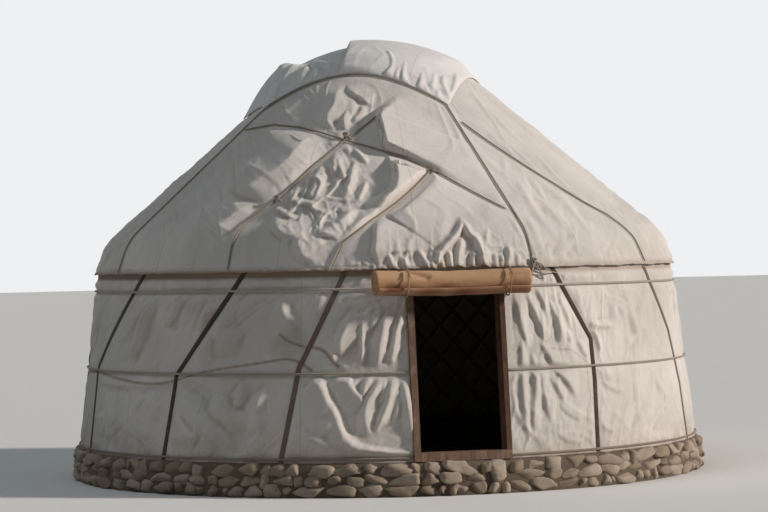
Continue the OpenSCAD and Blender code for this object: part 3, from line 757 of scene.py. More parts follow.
ROPE_ACROSS = roof_route([(-71, .70), (-55, .717), (-42, .695), (-33, .663), (-24, .62), (-16, .582),
                          (-6, .523), (0, .469), (7, .367), (13.5, .27)], FRONT_ROPE)
ROPE_SLANT = roof_route([(-7, .809), (-14, .744), (-24, .62), (-31, .496), (-37, .334), (-39, .28),
                         (-41, .237), (-41.6, .183), (-42, .13), (-42, .01)], FRONT_ROPE)
ROPE_MIDDLE = roof_route([(0, .469), (-9, .32), (-15, .225), (-20, .13), (-22, .01)], FRONT_ROPE)
ROPE_RIGHT = roof_route([(17.4, .706), (33, .404), (38, .302), (42, .24), (45, .13), (46, .01)], SIDE_ROPE)
UNDER_FOLD = 9                       # the slanting rope's first points lie under a loose fold
FRONT_ROPES = [arched_rope(), ROPE_ACROSS, ROPE_SLANT, ROPE_MIDDLE]
BACK_ROPES = [down(106, SIDE_ROPE), down(196, SIDE_ROPE), ROPE_RIGHT]
STRAPS = {
    "wall_straps_left": [wall_route(-21, [(-28, .51), (-31, .003)]),
                         wall_route(-41, [(-53, .47), (-55, .003)]),
                         wall_route(-67, [(-82, .49), (-82, .003)])],
    "wall_straps_right": [wall_route(21, [(27, .63), (27, .41), (26, .003)]),
                          wall_route(48, [(55, .65), (58, .33), (58, .003)]),
                          wall_route(78, [(86, .47), (87, .003)])],
    "wall_straps_back": [wall_route(a, [(a + 5, .5), (a + 5, .003)]) for a in (112, 146, 180, 214, 248)],
}
LEVELS = {"wall_rope_low": 0.030, "wall_rope_middle": 0.720, "wall_rope_high": 1.405}


# The form under the cloth
class Field:
    """A table over angle and height of how far out the form stands and how far out the cloth may go."""
    def __init__(self, a0, a1, z0, z1, surface, na, nz, stretch):
        self.a0, self.a1, self.z0, self.z1, self.na, self.nz = a0, a1, z0, z1, na, nz
        self.surface, self.stretch = surface, stretch
        self.a = np.linspace(a0, a1, na)[:, None] * np.ones(nz)
        self.z = np.linspace(z0, z1, nz)[None] * np.ones((na, 1))
        self.p = polar(self.a, surface(self.z), self.z)
        self.map = self.flat(self.a, self.z)
        self.form = np.zeros((na, nz))
        self.cap = np.full((na, nz), 0.30)
        self.damp = np.ones((na, nz))
        self.slack = np.full((na, nz), 0.022)

    def flat(self, a, z):
        """Angle and height as metres on a flat map."""
        a = np.where(a < self.a0 - 30, a + 360, a)
        return np.stack([np.radians(a) * self.surface(z), z * self.stretch], -1)

    def line(self, points, spacing=0.03):
        points = np.array(points, float)
        return resample(self.flat(points[:, 0], points[:, 1]), spacing)

    def window(self, line, reach):
        """The part of the table that lies within a distance of a line, if any."""
        inside = ((self.map > line.min(0) - reach) & (self.map < line.max(0) + reach))
        i, j = np.nonzero(inside[..., 0].any(1))[0], np.nonzero(inside[..., 1].any(0))[0]
        return (slice(i[0], i[-1] + 1), slice(j[0], j[-1] + 1)) if len(i) and len(j) else None

    def hold(self, route, half=0.014, lift=0.0, slope=0.7, steep=1.6, calm=0.05):
        """Keeps the cloth down along a rope or strap, and its folds low beside it."""
        route = resample(route, 0.06)
        w = self.window(self.flat(angle_of(route), route[:, 2]), 0.25)
        if w:
            e = np.maximum(near(self.p[w], route)[0] - half, 0)
            limit = lift + slope * e + (steep - slope) * np.maximum(e - 0.05, 0)
            self.cap[w] = np.minimum(self.cap[w], limit)
            if calm:
                self.damp[w] = np.minimum(self.damp[w], 1 - 0.8 * np.exp(-(e / calm) ** 2))

    def hold_hem(self, a0, a1, n, roof):
        tie = polar(np.linspace(a0, a1, n), roof.radius(HEM_TIE), HEM_TIE)
        self.hold(tie, half=0.008, lift=0.004, slope=1.2, steep=3.0, calm=0)

    def ridge(self, points, height, lit, shade, start=0.3, stop=0.3):
        line = self.line(points)
        w = self.window(line, max(lit, shade))
        if w:
            fold = crest(self.map[w], line, height, lit, shade, start, stop)
            self.form[w] = np.maximum(self.form[w], fold)

    def shelf(self, points, *sizes):
        self.form = np.maximum(self.form, shelf(self.map, self.line(points, 0.05), *sizes))

    def crumple(self, rng, mask, height, cells, turn=0.0, warp=0.12):
        self.form += height * mask * creased(grain(rng, self.map, cells, turn, warp))

    def puckers(self, rng, a0, a1, gap, height, rise):
        """Short folds of uneven size that stand on a hem."""
        a = a0
        while a < a1:
            up = rng.uniform(*rise)
            lean = rng.normal() * 0.35 * math.degrees(up / HEM_R)
            h = rng.uniform(*height)
            lit, shade = rng.uniform(0.9, 1.6) * h + 0.008, rng.uniform(0.7, 1.1) * h + 0.006
            middle = (a + lean * 0.35, HEM_FOOT + up * 0.5)
            self.ridge([(a + lean, HEM_FOOT + up), middle, (a, HEM_FOOT - 0.02)], h, lit, shade, 0.7, 0.0)
            a += rng.uniform(*gap)

    def wander(self, rng, count, height, rise, z0, z1):
        """Long shallow creases with a random slant."""
        for _ in range(count):
            a, z = rng.uniform(self.a0 + 2, self.a1 - 2), rng.uniform(z0, z1)
            up, lean = rng.uniform(*rise), rng.normal() * 4.5
            bow = rng.normal() * 1.2
            h = rng.uniform(*height)
            middle = (a + lean * 0.5 + bow, min(z + up / 2, z1 - 0.02))
            self.ridge([(a, min(z + up, z1)), middle, (a + lean, z)], h,
                       rng.uniform(2.5, 6) * h + 0.01, rng.uniform(1.8, 4) * h + 0.01, 0.5, 0.5)

    def ready(self):
        """Softens the form twice and keeps it under the cap."""
        for _ in range(2):
            for axis in (0, 1):
                g = np.moveaxis(self.form, axis, 0)
                g = np.pad(g, [(1, 1), (0, 0)], "edge")
                self.form = np.moveaxis((g[:-2] + 2 * g[1:-1] + g[2:]) / 4, 0, axis)
        self.form = np.minimum(self.form * self.damp, np.maximum(self.cap - 0.003, 0))
        self.cap = np.minimum(self.cap, self.form + self.slack)
        self.table = np.stack([self.form, self.cap, self.damp], -1).astype(np.float32)

    def at(self, x):
        """Form, cap and damp at points."""
        a = angle_of(x)
        a = np.where(a < self.a0 - 5, a + 360, a)
        u = np.clip((a - self.a0) / (self.a1 - self.a0) * (self.na - 1), 0, self.na - 1.001)
        v = np.clip((x[..., 2] - self.z0) / (self.z1 - self.z0) * (self.nz - 1), 0, self.nz - 1.001)
        i, j = u.astype(np.int32), v.astype(np.int32)
        return np.moveaxis(between(self.table, i, j, (u - i)[..., None], (v - j)[..., None]), -1, 0)

    def calm(self, x, press, rounds):
        """Evens out small puckers that are left beside the ropes."""
        for _ in range(rounds):
            k = (np.clip(1 - self.at(x)[2], 0, 0.75) * 1.2)[1:-1, 1:-1, None]
            around = (x[2:, 1:-1] + x[:-2, 1:-1] + x[1:-1, 2:] + x[1:-1, :-2]) / 4
            x = x.copy()
            x[1:-1, 1:-1] += np.minimum(k, 0.6) * (around - x[1:-1, 1:-1])
            x = press(x)
        return x


def roof_press(field, roof):
    """Moves points to between form and cap, square to the roof's surface."""
    def press(x):
        r = np.maximum(np.hypot(x[..., 0], x[..., 1]), 1e-4)
        vr, vz = r - BEND_R, x[..., 2] - BEND_Z
        turn, far = np.arctan2(vz, vr), np.maximum(np.hypot(vr, vz), 1e-5)
        skirt, slope = turn < SKIRT, (turn > ARC) | (vr < 0)
        nr = np.where(skirt, math.cos(SKIRT), np.where(slope, math.cos(ARC), vr / far))
        nz = np.where(skirt, math.sin(SKIRT), np.where(slope, math.sin(ARC), vz / far))
        o = vr * nr + vz * nz - BEND - roof.o
        low, cap, _ = field.at(x)
        move = np.clip(o - SUCK, low, cap) - o
        x = x.copy()
        x[..., 0] += move * nr * x[..., 0] / r
        x[..., 1] += move * nr * x[..., 1] / r
        x[..., 2] += move * nz
        return x.astype(np.float32)
    return press


def wall_press(field):
    def press(x):
        r = np.maximum(np.hypot(x[..., 0], x[..., 1]), 1e-4)
        o = (r - wall_r(x[..., 2])) * math.cos(LEAN)
        low, cap, _ = field.at(x)
        move = (np.clip(o - SUCK, low, cap) - o) / math.cos(LEAN)
        x = x.copy()
        x[..., 0] += move * x[..., 0] / r
        x[..., 1] += move * x[..., 1] / r
        x[..., 2] = np.clip(x[..., 2], 0.002, WALL_TOP)
        return x.astype(np.float32)
    return press


def fold_depth(spacing, extra):
    """Depth of folds that take up that share of extra cloth at that spacing."""
    return 1.25 * spacing / math.pi * np.sqrt(np.maximum(extra, 0))


def roof_points(field, roof, a, s, v, seed):
    """Points of the form under a roof cover, with a hem at v = 0 that isn't quite even."""
    w = a * 0.045
    wave = np.sin(w * 9.7 + seed) + 0.7 * np.sin(w * 23.1 + 2 * seed) + 0.4 * np.sin(w * 51 + seed)
    r, z, tilt = roof.at(s)
    p = polar(a, r, z + 0.0035 * wave * step(v, 0.04, 0.0))
    low = field.at(p)[0]
    return p + polar(a, low * np.cos(tilt), low * np.sin(tilt))


def roof_field(a0, a1, roof, full):
    na, nz = full
    return Field(a0, a1, z0=1.50, z1=3.45, surface=roof.radius, na=na, nz=nz, stretch=1.25)


def hem_dirt_and_shade(x, soiled, hem_shade, top=1.615):
    """Dirt low on a roof cover, and painted shade along its very edge."""
    return np.maximum(soiled * step(x[..., 2], top, top - 0.05), hem_shade * step(x[..., 2], 1.590, 1.565))


# Front roof cover. Each fold is a line of angle and height, its height, and its widths right and left of it.
# A shelf is a line, its height, its rise, its reach and the length of its ends.
FRONT_SHELVES = [
    ([(-3.1, 3.09), (-8.9, 3.01), (-13.8, 2.91), (-13.1, 2.8), (-12, 2.64), (-10.5, 2.5), (-9.8, 2.38),
      (-10.3, 2.27), (-11.5, 2.21), (-13.7, 2.16), (-15.8, 2.11), (-16.8, 2.03)], .125, .032, .3, .22),
    ([(-12.9, 2.06), (-14.1, 2.01), (-14.4, 1.88), (-14.6, 1.75), (-14.8, 1.69),
      (-13.4, 1.56)], .062, .022, .2, .35)]
FRONT_FOLDS = [
    ([(-33.5, 2.82), (-35.6, 2.77), (-36.5, 2.66), (-37.4, 2.52), (-39.7, 2.42), (-42.5, 2.36),
      (-44.7, 2.27), (-46.6, 2.2), (-45.8, 2.1)], .105, .22, .5),
    ([(-41.2, 2.15), (-44.4, 2.06), (-46.2, 1.93), (-45.6, 1.84)], .055, .09, .3),
    ([(-47.4, 2.84), (-48.6, 2.74), (-48.9, 2.66), (-49.4, 2.55), (-49.8, 2.42)], .026, .03, .18),
    ([(-33, 3.21), (-32.5, 3.1), (-31.5, 3.01), (-32.1, 2.87), (-28.3, 2.76)], .05, .1, .2),
    ([(-31, 3.18), (-22.7, 3.08), (-16.2, 2.98)], .035, .16, .04),
    ([(-25.6, 2.95), (-25.8, 2.84), (-24.2, 2.75)], .022, .05, .02),
    ([(-19.5, 3), (-20.5, 2.91), (-22.8, 2.82)], .026, .05, .03),
    ([(-26.9, 2.58), (-25.2, 2.46), (-25.1, 2.35)], .03, .08, .025),
    ([(-29.1, 2.48), (-28.8, 2.36), (-28.5, 2.26), (-29.6, 2.15)], .036, .09, .03),
    ([(-26.1, 2.55), (-22.8, 2.4), (-21.3, 2.3)], .03, .05, .03),
    ([(-20, 2.5), (-20.2, 2.33), (-21.1, 2.14)], .034, .05, .03),
    ([(-21.2, 2.61), (-18.7, 2.54), (-16.3, 2.45)], .028, .04, .03),
    ([(-34.3, 2.38), (-34.2, 2.25), (-34.1, 2.16)], .028, .06, .04),
    ([(-35.2, 2.21), (-31.5, 2.14), (-28, 2.11), (-25.4, 2.04)], .034, .06, .03),
    ([(-16.1, 2.33), (-17.3, 2.21), (-18.3, 2.11)], .022, .03, .03),
    ([(-37.2, 2.11), (-33.1, 2.04), (-29.4, 1.98)], .03, .05, .03),
    ([(-35.8, 2.07), (-33.1, 1.93), (-30.5, 1.86), (-28.8, 1.83), (-27.3, 1.7), (-25.8, 1.65),
      (-24.8, 1.57)], .062, .26, .1),
    ([(-17.8, 2.08), (-21, 1.97), (-23.8, 1.89), (-26.2, 1.84)], .05, .12, .05),
    ([(-4.2, 2.34), (-10.3, 2.16), (-14.5, 2.04), (-17.1, 1.95), (-19.5, 1.84),
      (-21, 1.72)], .042, .06, .07), ([(-9.6, 2.07), (-10.3, 1.94)], .02, .04, .02),
    ([(-10, 2.72), (-5.1, 2.6), (.5, 2.47)], .02, .03, .02), ([(7.4, 2.2), (9.9, 2.08)], .014, .02, .02),
    ([(1.2, 3.07), (13.4, 2.97), (13.1, 2.72), (9.4, 2.51)], .012, .05, .03)]
FRILL_FOLDS = [
    ([(3.1, 2.03), (1.7, 1.9), (-.3, 1.8), (-2.4, 1.71), (-3.4, 1.63)], .052, .05, .04),
    ([(2.4, 2.02), (3, 1.86), (4.2, 1.8), (4.7, 1.7), (5, 1.6)], .054, .07, .04),
    ([(2.2, 1.84), (.9, 1.72), (.2, 1.55)], .04, .05, .034),
    ([(-6.9, 1.73), (-5.4, 1.63), (-5, 1.56)], .026, .04, .024),
    ([(-4.3, 1.71), (-4.1, 1.55)], .028, .04, .024), ([(-1.1, 1.73), (-.9, 1.55)], .032, .04, .026),
    ([(2.4, 1.71), (4.3, 1.64), (5.6, 1.55)], .036, .05, .03),
    ([(6, 1.75), (5.6, 1.66), (5.2, 1.54)], .034, .06, .03),
    ([(10.5, 1.76), (10, 1.65), (9.3, 1.54)], .04, .05, .032),
    ([(7.6, 1.9), (5.9, 1.76)], .016, .03, .02), ([(-12.2, 1.72), (-11, 1.57)], .022, .04, .024),
    ([(-9.4, 1.67), (-8.3, 1.55)], .02, .03, .02), ([(-2.7, 1.68), (-2.3, 1.56)], .026, .03, .022),
    ([(7.5, 1.69), (7.4, 1.55)], .024, .04, .022), ([(12.1, 1.68), (11.6, 1.55)], .02, .04, .024),
    ([(8.9, 1.68), (8.4, 1.55)], .028, .03, .024), ([(3.4, 1.72), (3, 1.55)], .03, .03, .024),
    ([(13.2, 2.04), (13.9, 1.82), (16.1, 1.66), (17.6, 1.54)], .013, .05, .03),
    ([(13.3, 1.8), (15.7, 1.6)], .012, .05, .03)]
CRUMPLES = [(((-27, 2.38, 8, 0.36), (-26, 1.97, 8, 0.16), (-25, 2.95, 7, 0.16)), 0.026, (0.12, 0.26), -22),
            (((-27, 2.38, 9, 0.40), (-26, 1.97, 9, 0.20)), 0.012, (0.055, 0.11), 20),
            (((0, 1.65, 15, 0.15),), 0.020, (0.045, 0.11), 0)]


def front_form():
    f = roof_field(LEFT, RIGHT, FRONT, (700, 380))
    rng = np.random.default_rng(10)
    for route in FRONT_ROPES[:2] + [ROPE_SLANT[UNDER_FOLD:], ROPE_MIDDLE]:
        f.hold(route)
    f.hold_hem(-78, -15, 50, FRONT)
    hem_cap = 0.028 + 0.034 * zone(f.a, 0, 0, 0, 12, 1)
    f.cap = np.minimum(f.cap, hem_cap + 1.4 * np.maximum(f.z - 1.58, 0))
    for line, *sizes in FRONT_SHELVES:
        f.shelf(line, *sizes)
    for line, *sizes in FRONT_FOLDS:
        f.ridge(line, *sizes)
    for line, height, lit, shade in FRILL_FOLDS:
        f.ridge(line, 1.25 * height, lit, shade, stop=0.0)
    f.puckers(rng, -14.5, 13.0, (0.6, 1.4), (0.010, 0.022), (0.03, 0.09))
    f.puckers(rng, -73.0, -15.0, (0.7, 2.2), (0.006, 0.016), (0.03, 0.14))
    for zones, height, cells, turn in CRUMPLES:
        f.crumple(rng, sum(zone(f.a, f.z, *q) for q in zones), height, cells, turn)
    f.wander(rng, 16, (0.005, 0.012), (0.15, 0.5), 1.62, 3.1)
    f.crumple(rng, step(f.a, -40, -50), 0.010, (0.10, 0.9), 32)
    f.crumple(rng, 1, 0.007, (0.35, 0.7), -10, 0.3)
    f.slack += 0.03 * zone(f.a, f.z, -27, 2.3, 10, 0.5) - 0.013 * zone(f.a, f.z, 0, 1.65, 18, 0.25)
    f.ready()
    return f


def front_cover():
    f = front_form()
    top = FRONT.length(COVER_TOP_R)

    def place(u, v):
        """Angle and length up the roof, with a closer grid round the folds."""
        return np.interp(u, [0, 0.26, 1], [LEFT, -42, RIGHT]), np.interp(v, [0, 0.32, 1], [0, 0.60, top])

    def base(u, v):
        a, s = place(u, v)
        return roof_points(f, FRONT, a, s, v, 1)

    def excess(u, v):
        a, s = place(u, v)
        z = FRONT.at(s)[1]
        crumple = zone(a, z, -27, 2.35, 9, 0.42) + 0.8 * zone(a, z, -28, 1.95, 9, 0.25)
        frill = zone(a, z, -1, 1.62, 15, 0.24)
        return 0.008 + 0.06 * crumple + 0.012 * frill, 0.006 + 0.05 * crumple + 0.006 * frill

    def ripple(u, v, rng):
        return np.abs(noise(rng, *u.shape, 44, 24)) * fold_depth(0.14, sum(excess(u, v)) / 2)

    x = drape(base, (432, 224), roof_press(f, FRONT), excess, np.random.default_rng(11), ripple)
    x = f.calm(x, roof_press(f, FRONT), 14)
    a = angle_of(x)
    # grime low on the cover, doubled near the door, where it also paints the shade under the frill; painted
    # shade along the hem on the cover's shaded left part
    cloth("roof_cover_front_cloth", x, CANVAS, "roof_cover_front",
          "v0 u0 u1",
          mark=hem_dirt_and_shade(x, 0.5 + 0.5 * zone(a, 0, -1, 0, 13, 1), 0.95 * step(a, -4, -10), 1.612))


# The other roof covers
SIDE_FOLDS = [
    ([(60, 2.2), (64, 1.9), (66, 1.6)], .02, .1, .1), ([(36, 2.3), (40, 1.9), (44, 1.6)], .025, .05, .2),
    ([(17.6, 2.03), (17.4, 1.79), (18.1, 1.56)], .013, .07, .035),
    ([(29.3, 1.94), (25.5, 1.77), (21.9, 1.67), (19.4, 1.57)], .02, .04, .05),
    ([(22.3, 1.68), (21.1, 1.55)], .022, .04, .03), ([(19.1, 1.74), (18.5, 1.55)], .018, .05, .03),
    ([(22, 2.95), (27.5, 2.55), (31, 2.1), (32.5, 1.75)], .014, .1, .06),
    ([(24, 2.2), (25.5, 1.9), (26.5, 1.62)], .012, .07, .05),
    ([(41, 1.95), (43.2, 1.75), (44, 1.6)], .016, .06, .04),
    ([(48, 1.85), (47.4, 1.7), (46.8, 1.6)], .014, .05, .04),
    ([(52, 2.1), (55, 1.85), (57, 1.6)], .014, .07, .05)]


def roof_cover(side, a0, a1, seed, ropes, folds=(), hem_shade=0.5):
    length = SIDE.length(COVER_TOP_R)
    rng = np.random.default_rng(seed)
    f = roof_field(a0, a1, SIDE, (440, 240))
    for route in ropes:
        f.hold(route)
    f.hold_hem(a0 - 2, a1 + 2, 60, SIDE)
    for line, *sizes in folds:
        f.ridge(line, *sizes)
    f.puckers(rng, a0, a1, (0.8, 2.6), (0.005, 0.014), (0.04, 0.20))
    f.wander(rng, 26, (0.006, 0.017), (0.25, 0.9), 1.62, 3.2)
    f.crumple(rng, step(f.z, 2.3, 1.7), 0.010, (0.10, 0.45))
    f.crumple(rng, 1, 0.010, (0.40, 0.8), 0, 0.3)
    f.crumple(rng, 1, 0.005, (0.12, 0.6), 14, 0.3)
    f.ready()

    def base(u, v):
        return roof_points(f, SIDE, a0 + (a1 - a0) * u, v * length, v, seed)

    def excess(u, v):
        return 0.008 + 0.02 * step(SIDE.at(v * length)[1], 1.95, 1.58), 0.006

    def ripple(u, v, rng):
        return np.abs(noise(rng, *u.shape, 20, 9)) * fold_depth(0.25, excess(u, v)[0])

    x = drape(base, (241, 129), roof_press(f, SIDE), excess, rng, ripple)
    x = f.calm(x, roof_press(f, SIDE), 6)
    # grime low on the cover, and painted shade along its hem, heaviest on the shaded left cover
    cloth(f"roof_cover_{side}_cloth", x, CANVAS, f"roof_cover_{side}",
          "v0",
          mark=hem_dirt_and_shade(x, 0.5, hem_shade))


# Wall covers. A mark is a line of angle and height, its half width and its strength.
LEFT_FOLDS = [
    ([(-18.4, 1.25), (-19.8, 1.09), (-20.6, .96), (-20.2, .86)], .06, .17, .06),
    ([(-16.6, 1.23), (-16.8, 1), (-17, .76)], .038, .03, .02),
    ([(-13.6, 1.26), (-15.4, 1.06)], .03, .04, .04),
    ([(-11.9, 1.26), (-13.3, 1.05), (-14.4, .75)], .05, .07, .06),
    ([(-9.8, 1.26), (-11.3, .95), (-12, .75)], .038, .05, .03),
    ([(-15.5, .71), (-16.5, .62), (-16.5, .5)], .036, .06, .04),
    ([(-14.2, .71), (-14.1, .64), (-15.9, .5), (-16.4, .38), (-15.9, .2)], .056, .09, .06),
    ([(-11.9, .71), (-12, .61), (-12.6, .48), (-13.9, .33), (-15, .21)], .052, .08, .05),
    ([(-10.6, .71), (-9.8, .61), (-9, .37), (-8.4, .14)], .045, .06, .05),
    ([(-20.7, .74), (-19.5, .67), (-18.5, .59), (-17, .51), (-16.4, .38)], .042, .03, .14, .12, .3),
    ([(-25.6, .69), (-23.9, .62), (-22.9, .51), (-21.9, .43), (-21, .34),
      (-20.4, .24)], .05, .035, .22, .12, .2),
    ([(-21.4, .4), (-20.6, .28), (-19.6, .19), (-17.8, .125), (-15, .09), (-11.8, .06),
      (-8.5, .045)], .052, .038, .12, .12, .05),
    ([(-22, .12), (-20.9, .1), (-18.3, .06), (-15, .05)], .03, .03, .04),
    ([(-31, .28), (-24.9, .19), (-20.6, .1)], .026, .05, .12),
    ([(-22.3, 1), (-21.9, .9), (-21.6, .78)], .02, .03, .04),
    ([(-23.8, 1.38), (-24.4, 1.28), (-25.4, 1.16)], .02, .04, .05),
    ([(-15.2, 1.3), (-15.9, 1.16), (-16, 1)], .02, .03, .02),
    ([(-12.6, 1.12), (-12.9, .98), (-12.8, .8)], .02, .03, .02),
    ([(-13.4, .69), (-13.2, .56), (-14.1, .42)], .024, .03, .03),
    ([(-17.6, .7), (-18.2, .62), (-18, .5)], .02, .03, .03),
    ([(-11.2, .66), (-10.9, .48), (-11.5, .3)], .026, .03, .03),
    ([(-9.3, .66), (-8.9, .45), (-8.8, .2)], .016, .02, .02),
    ([(-25.4, .44), (-23.8, .33), (-22.6, .22)], .022, .03, .1),
    ([(-28.5, .66), (-26.6, .5), (-25, .36)], .02, .03, .12),
    ([(-31.5, .16), (-24.9, .1)], .018, .04, .08),
    ([(-40, 1.38), (-41.5, 1.15), (-42.5, .95)], .02, .05, .12),
    ([(-50, 1.38), (-52.5, 1.1)], .018, .05, .1), ([(-61, 1.38), (-65, 1.05)], .018, .05, .1),
    ([(-42, 1.4), (-42.7, 1.26), (-42, 1.07), (-39.9, .87)], .072, .1, .16),
    ([(-46.2, 1.38), (-46.5, 1.15), (-45.3, .79)], .051, .07, .1),
    ([(-31.5, 1.34), (-30.8, 1.23), (-29.3, 1.1), (-28, 1)], .054, .05, .12),
    ([(-52.7, .62), (-49.6, .5), (-44.9, .3), (-39.2, .1)], .077, .08, .2),
    ([(-52.7, .44), (-49.7, .27), (-44.7, .15)], .058, .06, .12),
    ([(-44.3, .59), (-42.2, .45), (-36.3, .29)], .058, .07, .14),
    ([(-38.9, .67), (-38.3, .56), (-39.5, .41)], .048, .05, .1),
    ([(-33.6, .65), (-35.2, .45), (-34.6, .23)], .054, .07, .1),
    ([(-59.1, 1.4), (-62.5, 1.18), (-64.6, .92), (-65.7, .78)], .058, .09, .12),
    ([(-51.9, 1.38), (-53.3, 1.3), (-55.8, 1.11)], .048, .06, .1),
    ([(-75.9, .56), (-72.6, .33), (-73.5, .1)], .034, .08, .12),
    ([(-60.9, .6), (-59, .39), (-59.5, .09)], .036, .08, .14),
    ([(-81.3, 1.37), (-86.4, 1.09), (-88, .81)], .03, .08, .12),
    ([(-90, .66), (-82.5, .64), (-70, .61), (-59.2, .63), (-46.4, .7), (-35.6, .72),
      (-31, .7)], .016, .05, .03)]
RIGHT_FOLDS = [
    ([(13.6, 1.36), (14.2, 1.24), (15.4, 1.1), (16.6, .88)], .038, .115, .022),
    ([(15.4, 1.4), (16.2, 1.33), (17.6, 1.1)], .029, .092, .02),
    ([(17.6, 1.34), (18.3, 1.23), (19.3, 1.11), (19.6, .99), (18.9, .86)], .034, .103, .02),
    ([(19.8, 1.32), (20.5, 1.25), (22.6, 1.05)], .022, .069, .018),
    ([(21.1, 1.05), (22.5, .88)], .016, .046, .018),
    ([(14.5, .98), (16.3, .87), (18.4, .7), (20.6, .58), (22.8, .44)], .036, .149, .022),
    ([(16.6, .66), (17.7, .58), (19.6, .43)], .022, .081, .018),
    ([(14.8, .86), (15, .63), (15.4, .47), (16.5, .22)], .031, .115, .022),
    ([(13.7, .9), (13.7, .57), (12.9, .38), (13.1, .15)], .04, .092, .035),
    ([(11.9, 1.1), (11.4, .7), (11.2, .4), (11.7, .08)], .029, .069, .03),
    ([(11, 1.38), (11.7, 1.15), (12.8, .85)], .031, .103, .03),
    ([(18.2, .42), (20.5, .33), (23.5, .27)], .016, .069, .018),
    ([(16.8, .2), (19.5, .12), (23.5, .09)], .016, .057, .018),
    ([(23.6, 1.3), (24.6, 1.15), (25.9, 1.04)], .018, .057, .018),
    ([(23.8, .95), (24.9, .84), (26, .77)], .016, .057, .018),
    ([(26, 1.07), (28.9, 1.05), (33.6, 1.04)], .025, .046, .018),
    ([(26.3, 1), (28.1, .95), (29.1, .8)], .027, .057, .018),
    ([(28, .6), (31, .52), (35, .48)], .016, .057, .018), ([(27.2, .22), (30.5, .15)], .016, .046, .018),
    ([(38, 1.4), (40, 1), (41, .78)], .016, .103, .03),
    ([(49, 1.38), (50.5, 1.2), (53, 1.02)], .018, .069, .02),
    ([(62, 1.4), (64.5, 1.05)], .018, .081, .03), ([(44, .66), (46.5, .5), (50, .38)], .016, .081, .025)]
LEFT_MARKS = [
    ([(-30.6, .99), (-28.8, .94)], .1, .28),
    ([(-96, .64), (-82.5, .7), (-59.2, .63), (-46.4, .74), (-35.6, .81), (-29.5, .84),
      (-25.7, .75)], .01, .9),
    ([(-31.5, 1.05), (-29.6, .98), (-26.8, .94), (-24, .92), (-22.2, .84), (-20.9, .77)], .01, .9),
    ([(-96.4, 1.42), (-63.1, 1.42), (-47.6, 1.43), (-20, 1.43)], .005, .35)]
RIGHT_MARKS = [
    ([(17.6, .88), (19.6, .865), (21.8, .86), (24.3, .79), (25.5, .74)], .006, .5),
    ([(25.4, .71), (25.4, .54), (25.6, .45), (24.4, .35), (24, .22)], .005, .4)]


def wall_form(rng, a0, a1, size, folds):
    k = 1.0
    f = Field(a0, a1, -0.01, 1.65, wall_r, int(size[0] * 1.6 * k), int(size[1] * 1.8 * k), 1.0)
    for route in sum(STRAPS.values(), []):
        f.hold(route, half=0.024, lift=0.0, slope=0.8, steep=2.0, calm=0.03)
    for z in LEVELS.values():
        rope = polar(np.linspace(a0 - 2, a1 + 2, 80), wall_r(z), z)
        f.hold(rope, half=0.010, lift=0.002, slope=0.8, steep=2.0, calm=0.03)
    for line, *sizes in folds:
        f.ridge(line, *sizes)
    f.wander(rng, 18, (0.005, 0.015), (0.15, 0.55), 0.75, 1.38)
    f.wander(rng, 18, (0.005, 0.015), (0.15, 0.5), 0.06, 0.69)
    f.cap = np.minimum(f.cap, 0.003 + 0.8 * np.maximum(1.50 - f.z, 0))
    near_door = zone(np.minimum(f.a, 360 - f.a), f.z, 15, 0.7, 7, 0.8)
    for mask, height, cells, turn, warp in (
            (step(f.z, 0.7, 1.3), 0.014, (0.12, 0.6), 4, 0.12),
            (step(f.z, 0.6, 0.2), 0.012, (0.16, 0.5), -6, 0.12),
            (1, 0.012, (0.45, 0.7), 20, 0.3), (1, 0.005, (0.14, 0.25), -30, 0.2),
            (near_door, 0.007, (0.045, 0.16), 12 if a0 > 180 else -12, 0.1),
            (near_door, 0.004, (0.03, 0.05), 40, 0.1)):
        f.crumple(rng, mask, height, cells, turn, warp)
    f.ready()
    return f


def wall_cover(side, a0, a1, seed, size, dense=([0, 1], [0, 1]), folds=(), marks=(), edges="v0"):
    """dense says at which shares of its grid and of its angle the cover's grid is closer or wider."""
    rng = np.random.default_rng(seed)
    f = wall_form(rng, a0, a1, size, folds)

    def place(u, v):
        """Angle and height. The end beside the door is upright, so its angle depends on the height."""
        z = 0.0008 + v * (WALL_TOP - 0.0008)
        post = np.degrees(np.arcsin(FRAME_SIDE / wall_r(z)))
        start = post if a0 < 10 else a0
        return start + ((360 - post if a1 > 350 else a1) - start) * np.interp(u, *dense), z

    def base(u, v):
        a, z = place(u, v)
        p = polar(a, wall_r(z), z)
        low = f.at(p)[0]
        return p + polar(a, low * math.cos(LEAN), low * math.sin(LEAN))

    def excess(u, v):
        a, z = place(u, v)
        near_door = zone(np.abs(np.where(a > 180, a - 360, a)), z, 14, 0.6, 7, 0.6)
        return 0.012 + 0.05 * near_door, 0.008 + 0.02 * near_door

    def ripple(u, v, rng):
        return np.abs(noise(rng, *u.shape, 30, 8)) * fold_depth(0.22, excess(u, v)[0])

    def pinned(u, v):
        """Held under the roof's hem and at both ends."""
        return ((v > 0.94) | (u < 0.001) | (u > 0.999)) * 1.0

    x = drape(base, size, wall_press(f), excess, rng, ripple, pinned)
    # grime at the foot, painted shade in the strip under the roof's hem (heaviest on the shaded front left
    # cover), and the marks
    hem_shade = 1.3 if a1 > 350 else 0.6
    mark = np.maximum(0.45 * step(x[..., 2], 0.035, 0.008), hem_shade * step(x[..., 2], 1.495, 1.525))
    a = angle_of(x)
    on_map = f.flat(a % 360 if a1 > 180 else a, x[..., 2])
    for line, half, strength in marks:
        near_line = step(near(on_map, f.line(line, 0.05))[0], half * 1.6, half * 0.5)
        mark = np.maximum(mark, strength * near_line)
    cloth(f"wall_cover_{side}_cloth", x, CANVAS, f"wall_cover_{side}",
          edges, mark=mark)


